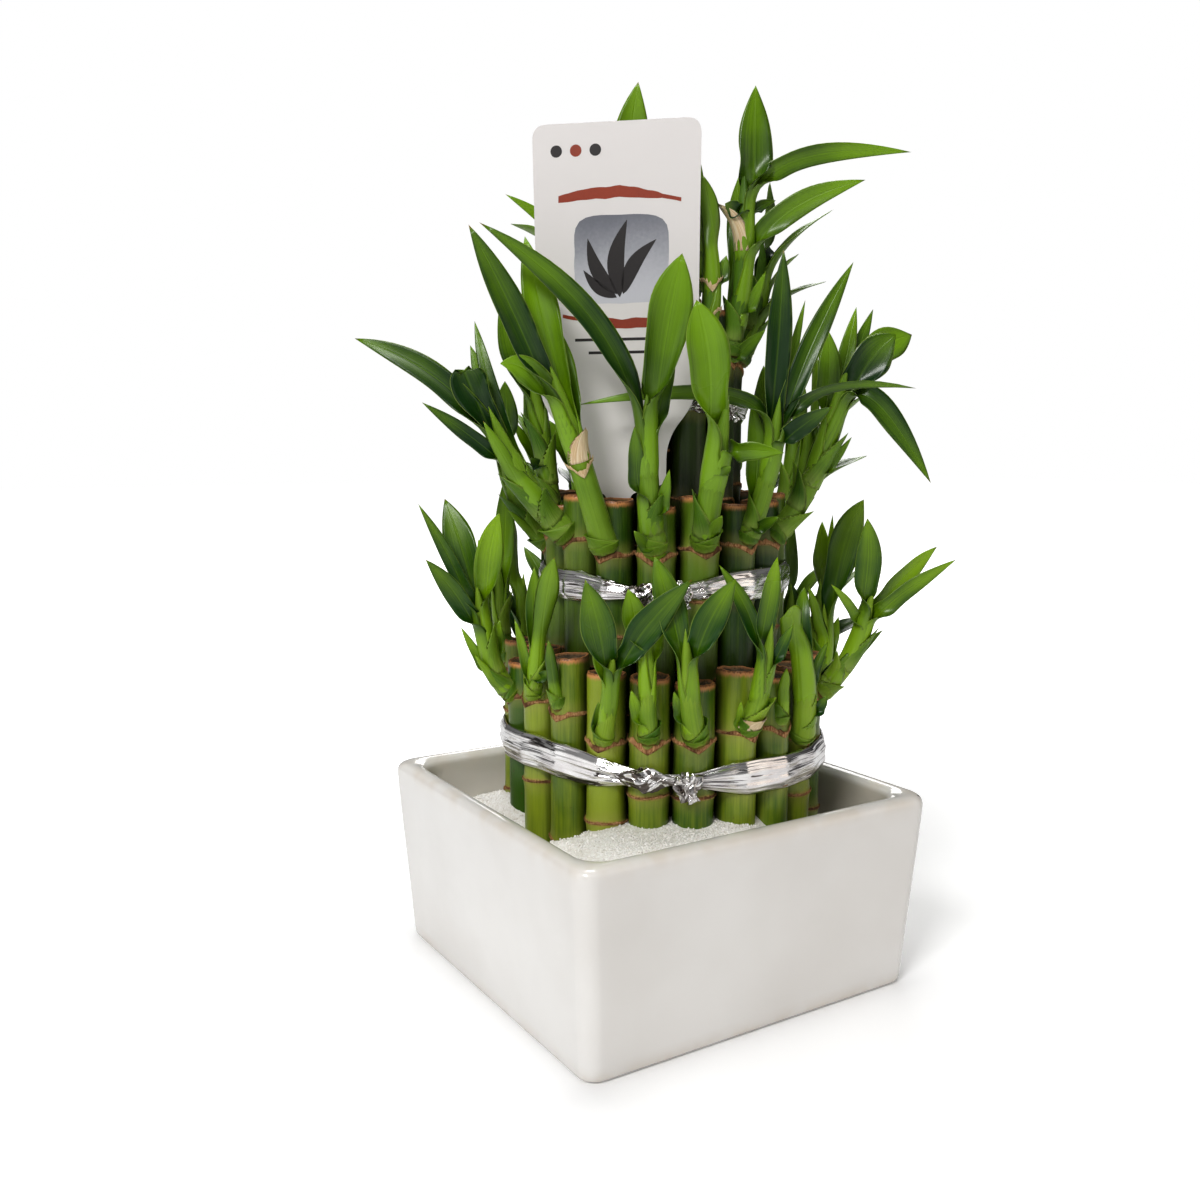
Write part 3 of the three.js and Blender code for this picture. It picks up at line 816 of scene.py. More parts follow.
ROWS = {
    OUTER: Row(
        count=22, radius=50.2, first=-7.5, shift=(0, 0), thick=6.55, ringed=6.95, top=116, node=98,
        shaded=(40, 50), habit=Habit(rise=28, lean=5, leaf_out=24, leaf_up=62, width=9, thick=(3.3, 2.6)),
    ),
    MIDDLE: Row(
        count=16, radius=36.2, first=16, shift=(0, 0), thick=6.45, ringed=6.85, top=171, node=156,
        shaded=(108, 136), habit=Habit(rise=32, lean=7, leaf_out=24, leaf_up=66, width=10, thick=(3.5, 2.8)),
    ),
    INNER: Row(
        count=10, radius=20.6, first=18, shift=(0.7, 1.3), thick=5.9, ringed=6.2, top=232, node=218,
        shaded=(166, 206), habit=Habit(rise=34, lean=6, leaf_out=26, leaf_up=66, width=10, thick=(3.2, 2.6)),
    ),
    CORE: Row(
        count=3, radius=7.6, first=40, shift=(0.7, 1.3), thick=6.0, ringed=6.25, top=244, node=239,
        shaded=(226, 246), habit=Habit(rise=20, lean=1, leaf_out=8, leaf_up=46, width=8, thick=(2.9, 2.4)),
    ),
}
SHEATH_STEPS = ((2.6, 3.8), (4.1, 6.0), (7.6, 13.0), (14.5, 17.0), (25.0, 18.0))


@dataclass(frozen=True)
class CaneNote:
    """What was read for one cane alone. What isn't given follows its row, or chance.

    A dry sheath is its start, reach, turn, flare and bluntness, and a torn collar its distance, both
    counted along the shoot.
    """

    cut: float | None = None
    low_ring: float | None = None
    tone: float | None = None
    sheaths: int = len(SHEATH_STEPS)
    dry_sheaths: tuple[tuple[float, float, float, float, float], ...] = ()
    torn_collars: tuple[float, ...] = ()


CANE_NOTES = {
    (OUTER, -5): CaneNote(cut=120, tone=0.35),
    (OUTER, -4): CaneNote(tone=0.9),
    (OUTER, -3): CaneNote(cut=122, low_ring=77.0, tone=0.3, sheaths=3),
    (OUTER, -2): CaneNote(cut=121, tone=0.5),
    (OUTER, -1): CaneNote(low_ring=68.5, tone=0.02, sheaths=2),
    (OUTER, 0): CaneNote(tone=0.5, sheaths=2),
    (OUTER, 1): CaneNote(tone=0.7, sheaths=2),
    (OUTER, 2): CaneNote(tone=0.4, sheaths=3, dry_sheaths=((4.0, 7.5, 0.9, 1.4, 0.9),)),
    (OUTER, 3): CaneNote(tone=0.6),
    (OUTER, 4): CaneNote(tone=0.45, sheaths=2),
    (MIDDLE, -3): CaneNote(cut=172.5),
    (MIDDLE, -2): CaneNote(
        low_ring=127.0, tone=0.6, sheaths=2, dry_sheaths=((34.0, 9.0, 0.6, 2.2, 0.6),), torn_collars=(33.0,)
    ),
    (MIDDLE, -1): CaneNote(tone=0.3, sheaths=3),
    (MIDDLE, 0): CaneNote(tone=0.15, sheaths=3),
    (MIDDLE, 1): CaneNote(tone=0.7, sheaths=3),
    (MIDDLE, 2): CaneNote(low_ring=128.0, tone=0.85),
    (INNER, -2): CaneNote(cut=224),
    (INNER, -1): CaneNote(cut=238),
    (INNER, 0): CaneNote(cut=228, sheaths=3, torn_collars=(18.0, 27.0)),
    (INNER, 1): CaneNote(sheaths=3, dry_sheaths=((37.0, 13.0, 2.9, 6.0, 1.0),)),
}


def cane_note(tier: Tier, number: int) -> CaneNote:
    """Returns what was read for a cane alone."""
    return CANE_NOTES.get((tier, number), CaneNote())


HABIT_LEAVES = ((0.5, 0.75, 0.42), (0.7, 0.45, 0.62), (0.85, 0.8, 0.75), (1.0, 0.1, 1.0))


@dataclass(frozen=True)
class Leaf:
    """A leaf: where on its shoot it springs, its tip, and how it gets there. A tone below 0 is drawn."""

    at: float
    right: float
    away: float
    up: float
    width: float
    arch: float
    roll: float = 0.0
    widest: float = 0.55
    tone: float = -1.0

    @property
    def tip(self) -> Vector:
        """Returns the place of its tip."""
        return Vector((self.right, self.away, self.up))


@dataclass(frozen=True)
class ShootSpec:
    """A side shoot: the cane and node that it springs from, its line and its leaves."""

    tier: Tier
    cane: int
    node: float
    turn: float
    bow: Vector
    top: Vector
    thick: Pair
    leaves: tuple[Leaf, ...]
    facing: Vector


def shoot(
    tier: Tier, cane: int, node: float, turn: float, bow: Triple, top: Triple, thick: Pair, *leaves: Leaf
) -> ShootSpec:
    """Returns a shoot from plain numbers, its leaves turned to the front."""
    return ShootSpec(tier, cane, node, turn, Vector(bow), Vector(top), thick, leaves, FACING_FRONT)


SHOOTS = (
    shoot(OUTER, -5, 110, -95, (-59, 4, 119), (-59, 4, 137), (3.2, 2.6),
          Leaf(1, -56, 8, 180, 7.5, 0.4), Leaf(0.9, -56, 12, 149, 4, 0.3), Leaf(1, -67, 10, 155, 7, 0.4)),
    shoot(OUTER, -4, 103, -80, (-60, -20, 108), (-63, -22, 132), (3.7, 2.8),
          Leaf(1, -83, -26, 170, 5, 0.3), Leaf(0.85, -80, -32, 152, 7.5, 0.35),
          Leaf(1, -76, -12, 171, 12, 0.45), Leaf(1, -56, -26, 167, 10, 0.5),
          Leaf(0.3, -65, -26, 119, 3.5, 0.1), Leaf(0.5, -70, -22, 128, 3.5, 0.1),
          Leaf(0.6, -57, -18, 130, 4, 0.3)),
    shoot(OUTER, -3, 105, -60, (-44, -38, 112), (-43, -38, 125), (2.9, 2.3),
          Leaf(1, -37, -46, 154, 8, 0.5), Leaf(0.9, -44, -36, 150, 6, 0.4),
          Leaf(0.4, -50, -44, 134, 3.5, 0.3), Leaf(0.5, -38, -44, 117, 3.5, 0.2)),
    shoot(OUTER, -2, 103, -40, (-37, -43, 108), (-37.5, -44.5, 114), (2.6, 1.8),
          Leaf(0.9, -39, -48, 128, 4, 0.3)),
    shoot(OUTER, -1, 95, -24, (-20, -61, 104), (-19, -62, 118), (3.1, 2.3),
          Leaf(0.95, -27, -70, 149.5, 11.5, 0.35, 5, tone=0.85),
          Leaf(0.85, -27, -62, 149, 6, 0.35, -25, tone=0.2), Leaf(1, 5, -68, 149.5, 11, 0.32, 12, tone=0.9),
          Leaf(0.15, -23, -62, 111, 3.5, 0.2)),
    shoot(OUTER, 0, 96, -7, (-8, -62, 108), (-8, -62, 126), (3.2, 2.4),
          Leaf(1, -14, -62, 146, 8.5, 0.4), Leaf(0.9, -3, -56, 141, 6, 0.4, 30),
          Leaf(0.3, -13, -64, 115, 4, 0.2)),
    shoot(OUTER, 1, 96, 9, (5, -65, 108), (4, -66, 123), (3.8, 2.8),
          Leaf(1, -6, -60, 156, 10, 0.4, tone=0.7), Leaf(1, 18, -70, 150, 10, 0.35, tone=0.8),
          Leaf(0.35, 0, -66, 115, 3.5, 0.2)),
    shoot(OUTER, 2, 98, 55, (27, -58, 107), (29, -60, 124), (3.6, 2.8),
          Leaf(1, 14, -58, 153, 5.5, 0.35), Leaf(1, 31, -64, 156, 7.5, 0.45, 20, tone=0.6),
          Leaf(0.95, 37, -60, 135, 4, 0.2), Leaf(0.1, 21, -62, 111, 3, 0.2)),
    shoot(OUTER, 3, 98, 42, (37, -43, 103), (37, -44.5, 108), (2.6, 1.8),
          Leaf(0.9, 37, -49, 119, 4, 0.3)),
    shoot(OUTER, 4, 92, 50, (46, -40, 99), (43, -42, 122), (4.2, 3.4),
          Leaf(1, 37, -50, 138, 9, 0.9, 20, tone=0.2), Leaf(1, 45, -32, 143, 5, 0.6),
          Leaf(0.45, 52, -40, 108, 4, 0.1), Leaf(0.7, 53, -34, 125, 3.5, 0.3)),
    shoot(OUTER, 5, 102, 82, (65, -14, 111), (69, -16, 129), (3.7, 3.0),
          Leaf(1, 67, -24, 165, 9.5, 0.5), Leaf(0.97, 96, -6, 154, 8.5, 0.3, 20),
          Leaf(0.97, 98, -22, 151, 6, 0.25, 10), Leaf(0.9, 55, -26, 143, 3.5, 0.3),
          Leaf(0.1, 77, -10, 125, 5.5, 0.2), Leaf(0.4, 70, -18, 125, 3, 0.2)),
    shoot(OUTER, 6, 102, 95, (60, 2, 107), (59, 2, 122), (3.2, 2.6),
          Leaf(1, 72, 4, 170, 13, 0.6), Leaf(0.9, 63, 14, 164, 3.5, 0.5), Leaf(0.9, 51, -6, 140, 4, 0.3),
          Leaf(0.6, 65, 8, 127, 5, 0.2)),
    shoot(MIDDLE, -5, 153, -100, (-53, 0, 163), (-56, -4, 186), (3.4, 2.8),
          Leaf(1, -55, -10, 211, 8, 0.5), Leaf(0.2, -55, -6, 167, 3, 0.2), Leaf(1, -68, 2, 224, 7, 0.4)),
    shoot(MIDDLE, -4, 160, -70, (-41, -14, 183), (-44, -14, 203), (3.6, 3.0),
          Leaf(1, -56, -12, 238, 11, 0.4), Leaf(0.5, -46, -18, 185, 4, 0.2), Leaf(1, -43, -6, 235, 8, 0.4)),
    shoot(MIDDLE, -3, 158, -75, (-46, -30, 171), (-53, -31, 188), (4.5, 3.6),
          Leaf(1, -103, -24, 224, 9, 0.5, tone=0.65), Leaf(1, -66, -31, 213, 13, 1.15, 0, 0.5, tone=0.9),
          Leaf(0.9, -80, -33, 203, 5.5, 0.15), Leaf(0.7, -60, -36, 197, 5, 0.15),
          Leaf(1, -64, -20, 230, 5, 0.4)),
    shoot(MIDDLE, -2, 154, -50, (-26, -46, 175), (-34, -47, 201), (4.4, 3.4),
          Leaf(1, -62, -52, 255, 10, 0.4, tone=0.8), Leaf(0.97, -46, -38, 254, 12, 0.4),
          Leaf(0.95, -53, -52, 214, 9, 0.8, 0, 0.5), Leaf(0.85, -35, -40, 225, 8, 0.4)),
    shoot(MIDDLE, -1, 154, -8, (-8, -49, 173), (-8, -49, 193), (3.9, 3.2),
          Leaf(1, 2, -56, 246, 15, 0.45, 0, 0.68, tone=0.3),
          Leaf(0.95, -59, -50, 256, 8.5, 0.45, tone=0.75), Leaf(0.45, -12, -54, 195, 5.5, 0.4),
          Leaf(0.35, -1, -52, 182, 4, 0.15), Leaf(0.95, 1, -45, 217, 5.5, 0.4),
          Leaf(0.1, -12, -52, 163, 4, 0.1)),
    shoot(MIDDLE, 0, 156, 14, (11, -51, 170), (14, -53, 188), (3.9, 4.0),
          Leaf(1, 6, -60, 232, 14, 0.5, 0, 0.66, tone=0.2), Leaf(1, 33, -60, 187, 7, 0.2, 40, tone=0.3),
          Leaf(0.25, 15, -56, 168, 4, 0.1), Leaf(0.8, 17, -60, 183, 3, 0.2)),
    shoot(MIDDLE, 1, 157, 45, (31, -40, 173), (33, -41, 193), (3.3, 2.9),
          Leaf(1, 77, -42, 207, 4, 0.5, 50), Leaf(1, 35, -38, 250, 8.5, 0.4, tone=0.95),
          Leaf(0.95, 58, -33, 247, 7.5, 0.35, tone=0.7), Leaf(0.9, 44, -27, 236, 3.5, 0.4),
          Leaf(1, -30, -36, 202, 5, 0.35), Leaf(0.9, 49, -50, 201, 7, 0.2), Leaf(0.2, 34, -46, 167, 4, 0.1),
          Leaf(0.3, 26, -36, 203, 7, 0.4)),
    shoot(MIDDLE, 2, 157, 65, (49, -22, 171), (56, -24, 203), (3.7, 3.3),
          Leaf(1, 74, -26, 225, 14, 0.6, tone=0.95), Leaf(1, 85, -34, 177, 8.5, 0.5, tone=0.75),
          Leaf(0.95, 63, -16, 235, 6, 0.3), Leaf(0.97, 70, -10, 235, 5.5, 0.3),
          Leaf(0.85, 53, -20, 227, 9, 0.4), Leaf(0.6, 61, -24, 192, 3, 0.2),
          Leaf(0.9, 85, -4, 227, 13, 0.6, 0, 0.66, tone=0.4)),
    shoot(INNER, -2, 214, -75, (-27, -10, 230), (-27, -9, 246), (3.1, 2.5),
          Leaf(1, -54, -12, 272, 5, 0.4), Leaf(0.9, -45, -8, 268, 5, 0.3), Leaf(1, -24, -6, 286, 8, 0.4)),
    shoot(INNER, -1, 229, -120, (-11, -16, 243), (-14, -14, 258), (3.0, 2.5),
          Leaf(1, -10, -14, 307, 14, 0.4, tone=0.3), Leaf(0.8, -22, -15, 284, 7, 0.3),
          Leaf(0.9, 1, -14, 282, 7, 0.3)),
    shoot(INNER, 0, 216, 60, (16, -22, 233), (13, -21, 252), (3.3, 2.8),
          Leaf(1, 11, -21, 276, 6.5, 0.5), Leaf(0.7, 19, -20, 251, 5, 0.2)),
    shoot(INNER, 1, 218, 60, (26, -18, 237), (25, -17, 267), (3.5, 3.0),
          Leaf(1, 28, -17, 305, 12.5, 0.5, 12, 0.42, tone=0.55),
          Leaf(1, 79, -18, 284, 7, 0.42, 25, tone=0.35), Leaf(0.65, 63, -24, 274, 8.5, 0.45, 10, tone=0.25),
          Leaf(0.95, 18, -22, 267, 6, 0.2), Leaf(0.95, 36, -12, 270, 4, 0.3),
          Leaf(0.35, 32, -20, 246, 4, 0.1), Leaf(0.02, 32, -22, 227, 5, 0.1)),
)


def habit_shoot(tier: Tier, number: int) -> ShootSpec:
    """Grows a shoot by its row's habit, for a cane that isn't listed.

    Args:
        tier: the cane's row.
        number: the cane's number in it.

    Returns:
        The shoot.
    """
    row = ROWS[tier]
    habit = row.habit
    chance = Chance(100 * row.radius + number)
    heading = row.heading(number)
    height = row.node + 4 * (chance() - 0.5)
    edge = row.radius + row.ringed

    def spot(out: float, side: float, up: float) -> Vector:
        """Returns a point outwards and sideways of the cane."""
        point = around(out, heading, up) + around(side, heading + 90, 0)
        return Vector((point.x + row.shift[0], point.y + row.shift[1], up))

    top = height + habit.rise * (0.9 + 0.2 * chance())
    leaves = []
    for index, (at, out, up) in enumerate(HABIT_LEAVES[1 if tier is CORE else 0 :]):
        hand = 1 if index % 2 else -1
        side = hand * (2 + 3.5 * chance())
        reach = edge + habit.lean + habit.leaf_out * out * (0.8 + 0.4 * chance())
        tip = spot(reach, side, height + habit.leaf_up * up * (0.9 + 0.2 * chance()))
        width = habit.width * (0.75 + 0.35 * chance())
        leaves.append(Leaf(at, *tip, width, 0.42, 25 * hand * chance()))
    bow = spot(edge + habit.lean, 0, height + 0.35 * habit.rise)
    end = spot(edge + habit.lean, 1.5 * (chance() - 0.5), top)
    return ShootSpec(
        tier, number, height, heading, bow, end, habit.thick, tuple(leaves), around(1, heading, 0.2)
    )


@dataclass
class Blade:
    """A leaf: its base clasps the stem like a rolled sheet, then opens into a strap with a tip.

    A row across it is its middle, its side, its outward direction, half its width, the radius of its
    curl and its share of the blade's length, below 0 where it still clasps the stem.
    """

    spec: Leaf
    stem: Curve3
    thick: Pair
    facing: Vector
    chance: Chance
    clasp: float
    body: float
    across: int
    along: int
    rows: list[tuple[Vector, Vector, Vector, float, float, float]] = field(default_factory=list)

    def outline(self, share: float) -> float:
        """Returns the blade's laid-flat width at a share of its length, as a share of its full width."""
        widest = self.spec.widest
        if share < widest:
            return 0.56 + 0.44 * math.sin(share / widest * math.pi / 2)
        rest = (share - widest) / (1 - widest)
        return 1 - rest**2.1

    def lay_out(self) -> None:
        """Works out the frames, widths and curls along the blade."""
        spec, stem = self.spec, self.stem
        at = min(spec.at, 0.97)
        length = max(1.0, (stem.end - stem.start).length)
        girth = blend(*self.thick, at)
        root, along = stem.point(at), stem.heading(at)
        outward = (spec.tip - root) - along * (spec.tip - root).dot(along)
        outward = (outward if outward.length > 0.5 else self.facing).normalized()
        base = root + outward * girth * 1.04
        rib = Curve3(base, base + along * (spec.arch * (spec.tip - base).length), spec.tip)
        side = along.cross(outward).normalized()
        flat = rib.heading(0.5).cross(self.facing).normalized()
        agrees, turned_away = side.dot(flat), flat.cross(rib.heading(0.5)).dot(self.facing) > 0
        if agrees < -0.5 or (agrees <= 0.5 and turned_away):
            flat = -flat
        start = max(0.0, at - self.clasp / length)
        wrap = 5
        rolled = min(1.62 * girth, 0.5 * spec.width + 1.6)
        curl = 0.95 * spec.width * self.chance.between(0.8, 1.6)
        self.rows = [(stem.point(start), side, outward, 0.0, 1.0, -0.35)]
        for index in range(wrap):
            share = index / wrap
            t = blend(start, at, share)
            skin = blend(*self.thick, t) * (0.93 + 0.11 * smooth(0.0, 0.5, share))
            half = 2.5 * skin * (1 - share) + rolled * share
            centre = stem.point(t) + outward * skin
            self.rows.append((centre, side, outward, half, skin, -0.3 * (1 - share)))
        steps = self.along - wrap - 1
        for index in range(steps + 1):
            share = index / steps
            way = rib.heading(share)
            turn = smooth(0.04, 0.46, share)
            local = side * (1 - turn) + flat * turn
            local = (local - way * local.dot(way)).normalized()
            local.rotate(Matrix.Rotation(math.radians(spec.roll) * turn, 3, way))
            outer = local.cross(way).normalized()
            opened, freed = smooth(0.0, 1.35 * spec.widest, share), smooth(0.0, 1.1 * spec.widest, share)
            half = rolled * (1 - freed) + 0.5 * spec.width * self.outline(share) * freed
            bend = 1 / ((1 - opened) / (1.05 * girth) + opened / curl)
            self.rows.append((rib.point(share), local, outer, half, bend, share))

    def add_to(self, piece: Moulder, tone: float) -> None:
        """Adds the blade to its cane's piece.

        Args:
            piece: the piece.
            tone: its own shade, 0 for fresh to 1 for deep.
        """
        self.lay_out()
        last = len(self.rows) - 1
        wave = self.chance.between(0, ABOUT_A_TURN)
        beats = self.chance.between(1.2, 2.4)

        def place(u: float, v: float) -> Placed:
            """Returns a point of the blade's skin."""
            centre, side, outer, half, bend, share = self.rows[round(v * last)]
            if half <= 0:
                return centre, (0.0, share, tone)
            cross = folded(u)
            normal = swung(outer, side, cross * min(2.6, half / bend))
            point = centre - outer * bend + normal * bend
            body = lens(cross) * self.body * (1 - 0.3 * max(0.0, share)) / 2
            ripple = 0.0
            if share > 0:
                ripple = 0.04 * self.spec.width * cross * cross * math.sin(math.pi * share)
                ripple *= math.sin(beats * ABOUT_A_TURN * share + wave + 1.3 * cross)
            return point + normal * ((body if u <= 0.5 else -body) + ripple), (cross, share, tone)

        piece.drape(self.across, last, place, Coat.LEAF, lambda u, v: (1.0 if u < 0.5 else 0.0, FAR, 0.0))


@dataclass
class Sheath:
    """A pointed scale that wraps its stem and lets its tip stand off a little."""

    stem: Curve3
    girth: Callable[[float], float]
    start: float
    reach: float
    turn: float
    flare: float
    blunt: float = 0.0
    dry: float = 0.0

    def add_to(self, piece: Moulder, tone: float) -> None:
        """Adds the sheath to its cane's piece.

        Args:
            piece: the piece.
            tone: its own shade, 0 for fresh to 1 for deep.
        """
        length = max(1.0, (self.stem.end - self.stem.start).length)
        rows = 12

        def place(u: float, v: float) -> Placed:
            """Returns a point of the sheath's skin."""
            index = round(v * rows)
            share = max(0, index - 1) / (rows - 1)
            out = self.start + self.reach * share
            t = min(1.0, out / length)
            way = self.stem.heading(t)
            centre = self.stem.point(t) + way * max(0.0, out - length)
            side = right_of(way)
            outward = swung(side, side.cross(way), self.turn)
            if index == 0:
                return centre, (0.0, 0.0, tone)
            cross = folded(u)
            pointed = 2.5 * (1 - share**1.25) ** 0.8
            squared = (2.3 - 0.9 * share) * (1 - share**9)
            normal = swung(outward, way.cross(outward), cross * blend(pointed, squared, self.blunt))
            body = 0.2 * lens(cross) * (1 - share**4)
            skin = self.girth(out) + 0.08 + 0.14 * share + (body if u <= 0.5 else -body)
            torn = self.blunt * share**4 * 1.6 * noise.noise(Vector((3 * cross, self.start, self.turn)))
            point = centre + normal * skin + outward * (self.flare * share**2.4) + way * torn
            return point, (cross, share, tone)

        piece.drape(14, rows, place, Coat.SHOOT, lambda u, v: (self.dry, FAR, 0.0))


NOTCH_HALF = 0.75
NOTCH_DIP = 2.3


def notch(off: float) -> float:
    """Returns how deep a scar lies in the V under its bud, 0 to 1, at an angle off the bud in radians."""
    return max(0.0, 1 - abs(off) / NOTCH_HALF)


@dataclass
class Husk:
    """The torn dry edge that an old leaf leaves round a stalk."""

    skin: Callable[[float, float, float], Vector]
    bud: float
    dip: float
    rise: float
    seed: float
    pale: float = 0.0

    def add_to(self, piece: Moulder) -> None:
        """Adds the ragged rim to its cane's piece."""

        def place(u: float, v: float) -> Placed:
            """Returns a point of the rim's skin."""
            angle = self.bud + math.pi + FULL_TURN * u
            off = FULL_TURN * u - math.pi
            phase = FULL_TURN * v
            torn = abs(noise.noise(Vector((3.4 * math.cos(angle), 3.4 * math.sin(angle), self.seed))))
            near = bell(off, 0.8)
            high = self.rise * (0.25 + 1.5 * torn + 0.7 * near * torn)
            low = 0.3 + 0.75 * near
            up = (high if math.sin(phase) > 0 else low) * math.sin(phase)
            up -= self.dip * notch(off)
            up += 0.3 * math.sin(2 * angle + self.seed)
            out = 0.12 + 0.11 * math.cos(phase) + 0.4 * max(0.0, math.sin(phase)) * (0.3 + torn)
            return self.skin(angle, up, out), (2 * u - 1, v, self.seed)

        piece.drape(40, 8, place, Coat.HUSK, lambda u, v: (self.pale, 0.0, 0.0))


SMALL_LEAF = 4.6


@dataclass
class Shoot:
    """A side shoot: swollen base, smooth stem, pointed sheaths and its leaves."""

    spec: ShootSpec
    line: Curve3 = field(init=False)
    length: float = field(init=False)

    def __post_init__(self) -> None:
        """Works out the line of the stem, from inside its cane."""
        row = ROWS[self.spec.tier]
        start = row.axis(self.spec.cane, self.spec.node) + around(3.5, self.spec.turn, 0)
        self.line = Curve3(start, self.spec.bow, self.spec.top)
        self.length = max(1.0, (self.line.end - self.line.start).length)

    def girth(self, out: float) -> float:
        """Returns the stem's radius at a distance from its start."""
        swell = 1 + 0.16 * bell(out - 4.5, 3.2)
        return blend(*self.spec.thick, min(1.0, out / self.length)) * swell

    def frame(self, t: float) -> tuple[Vector, Vector, Vector]:
        """Returns the stem's direction, its right and its front."""
        way = self.line.heading(t)
        side = right_of(way)
        return way, side, side.cross(way)

    def add_to(self, piece: Moulder) -> None:
        """Adds the whole shoot to its cane's piece."""
        spec = self.spec
        chance = Chance(977 + 31 * spec.cane + 7 * spec.node)
        self.add_stem(piece, chance.between(0.0, 0.35))
        self.add_sheaths(piece, chance)
        for item in spec.leaves:
            sizes = (6, 0.4, 14, 18) if item.width < SMALL_LEAF else (13, 0.5, 18, 28)
            blade = Blade(item, self.line, spec.thick, spec.facing, chance, *sizes)
            tone = chance.between(0.15, 1.05)
            blade.add_to(piece, tone if item.tone < 0 else item.tone)
        note = cane_note(spec.tier, spec.cane)
        for sizes in note.dry_sheaths:
            Sheath(self.line, self.girth, *sizes, dry=1.0).add_to(piece, 0.5)
        for out in note.torn_collars:
            self.add_collar(piece, out)

    def add_collar(self, piece: Moulder, out: float) -> None:
        """Adds a torn cream edge round the stem at a distance from its start."""
        t = min(1.0, out / self.length)
        way, side, front = self.frame(t)
        centre = self.line.point(t)
        girth = self.girth(out) + 0.25

        def skin(angle: float, up: float, lift: float) -> Vector:
            """Returns a point beside the stem."""
            return centre + way * up + swung(side, front, angle) * (girth + 1.6 * lift)

        Husk(skin, math.pi / 2, dip=2.6, rise=1.3, seed=out, pale=1.0).add_to(piece)

    def add_stem(self, piece: Moulder, tone: float) -> None:
        """Adds the stem and the rolled young leaf that ends it."""
        spear = 4.2 * self.spec.thick[1]

        def place(u: float, v: float) -> Placed:
            """Returns a point of the stem."""
            t = min(1.0, v / 0.8)
            past = max(0.0, (v - 0.8) / 0.2)
            way, side, front = self.frame(t)
            centre = self.line.point(t) + way * (spear * past)
            girth = self.girth(t * self.length) * (1 - 0.3 * smooth(0.86, 1.0, t)) * (1 - past**1.3)
            girth = 0 if v in (0, 1) else girth
            point = centre + swung(side, front, FULL_TURN * u) * girth
            return point, (2 * u - 1, 0.2 + 0.5 * t, tone)

        piece.drape(16, 25, place, Coat.SHOOT, lambda u, v: (0.0, abs(v / 0.8 * self.length - 3.2), 0.0))

    def add_sheaths(self, piece: Moulder, chance: Chance) -> None:
        """Adds the pointed sheaths: short and crowded at the foot, long and snug higher up."""
        hand = 1 if chance() < 0.5 else -1
        kept = cane_note(self.spec.tier, self.spec.cane).sheaths
        for index, (start, reach) in enumerate(SHEATH_STEPS[:kept]):
            start *= chance.between(0.85, 1.15)
            if start > 0.6 * self.length:
                break
            turn = math.pi / 2 + hand * (1.2 if index else 0.2) + chance.between(-0.4, 0.4)
            if self.spec.facing.y > 0:
                turn = -turn
            flare = chance.between(0.3, 1.2) + 0.09 * reach
            reach *= chance.between(0.8, 1.2)
            sheath = Sheath(self.line, self.girth, start, reach, turn, flare)
            sheath.add_to(piece, chance.between(0.0, 0.75))
            hand = -hand


LEVEL_STEP = 9.0
SCAR_LEVELS = (-4.2, -3, -2.1, -1.4, -0.8, -0.3, 0.2, 0.8, 1.5, 2.5, 3.6)
RIM_LEVELS = (3.0, 1.6, 0.8, 0.3)
LOWEST_RING = 12.0
FIRST_RING_GAP = (14, 20)
RING_GAP = (24, 33)


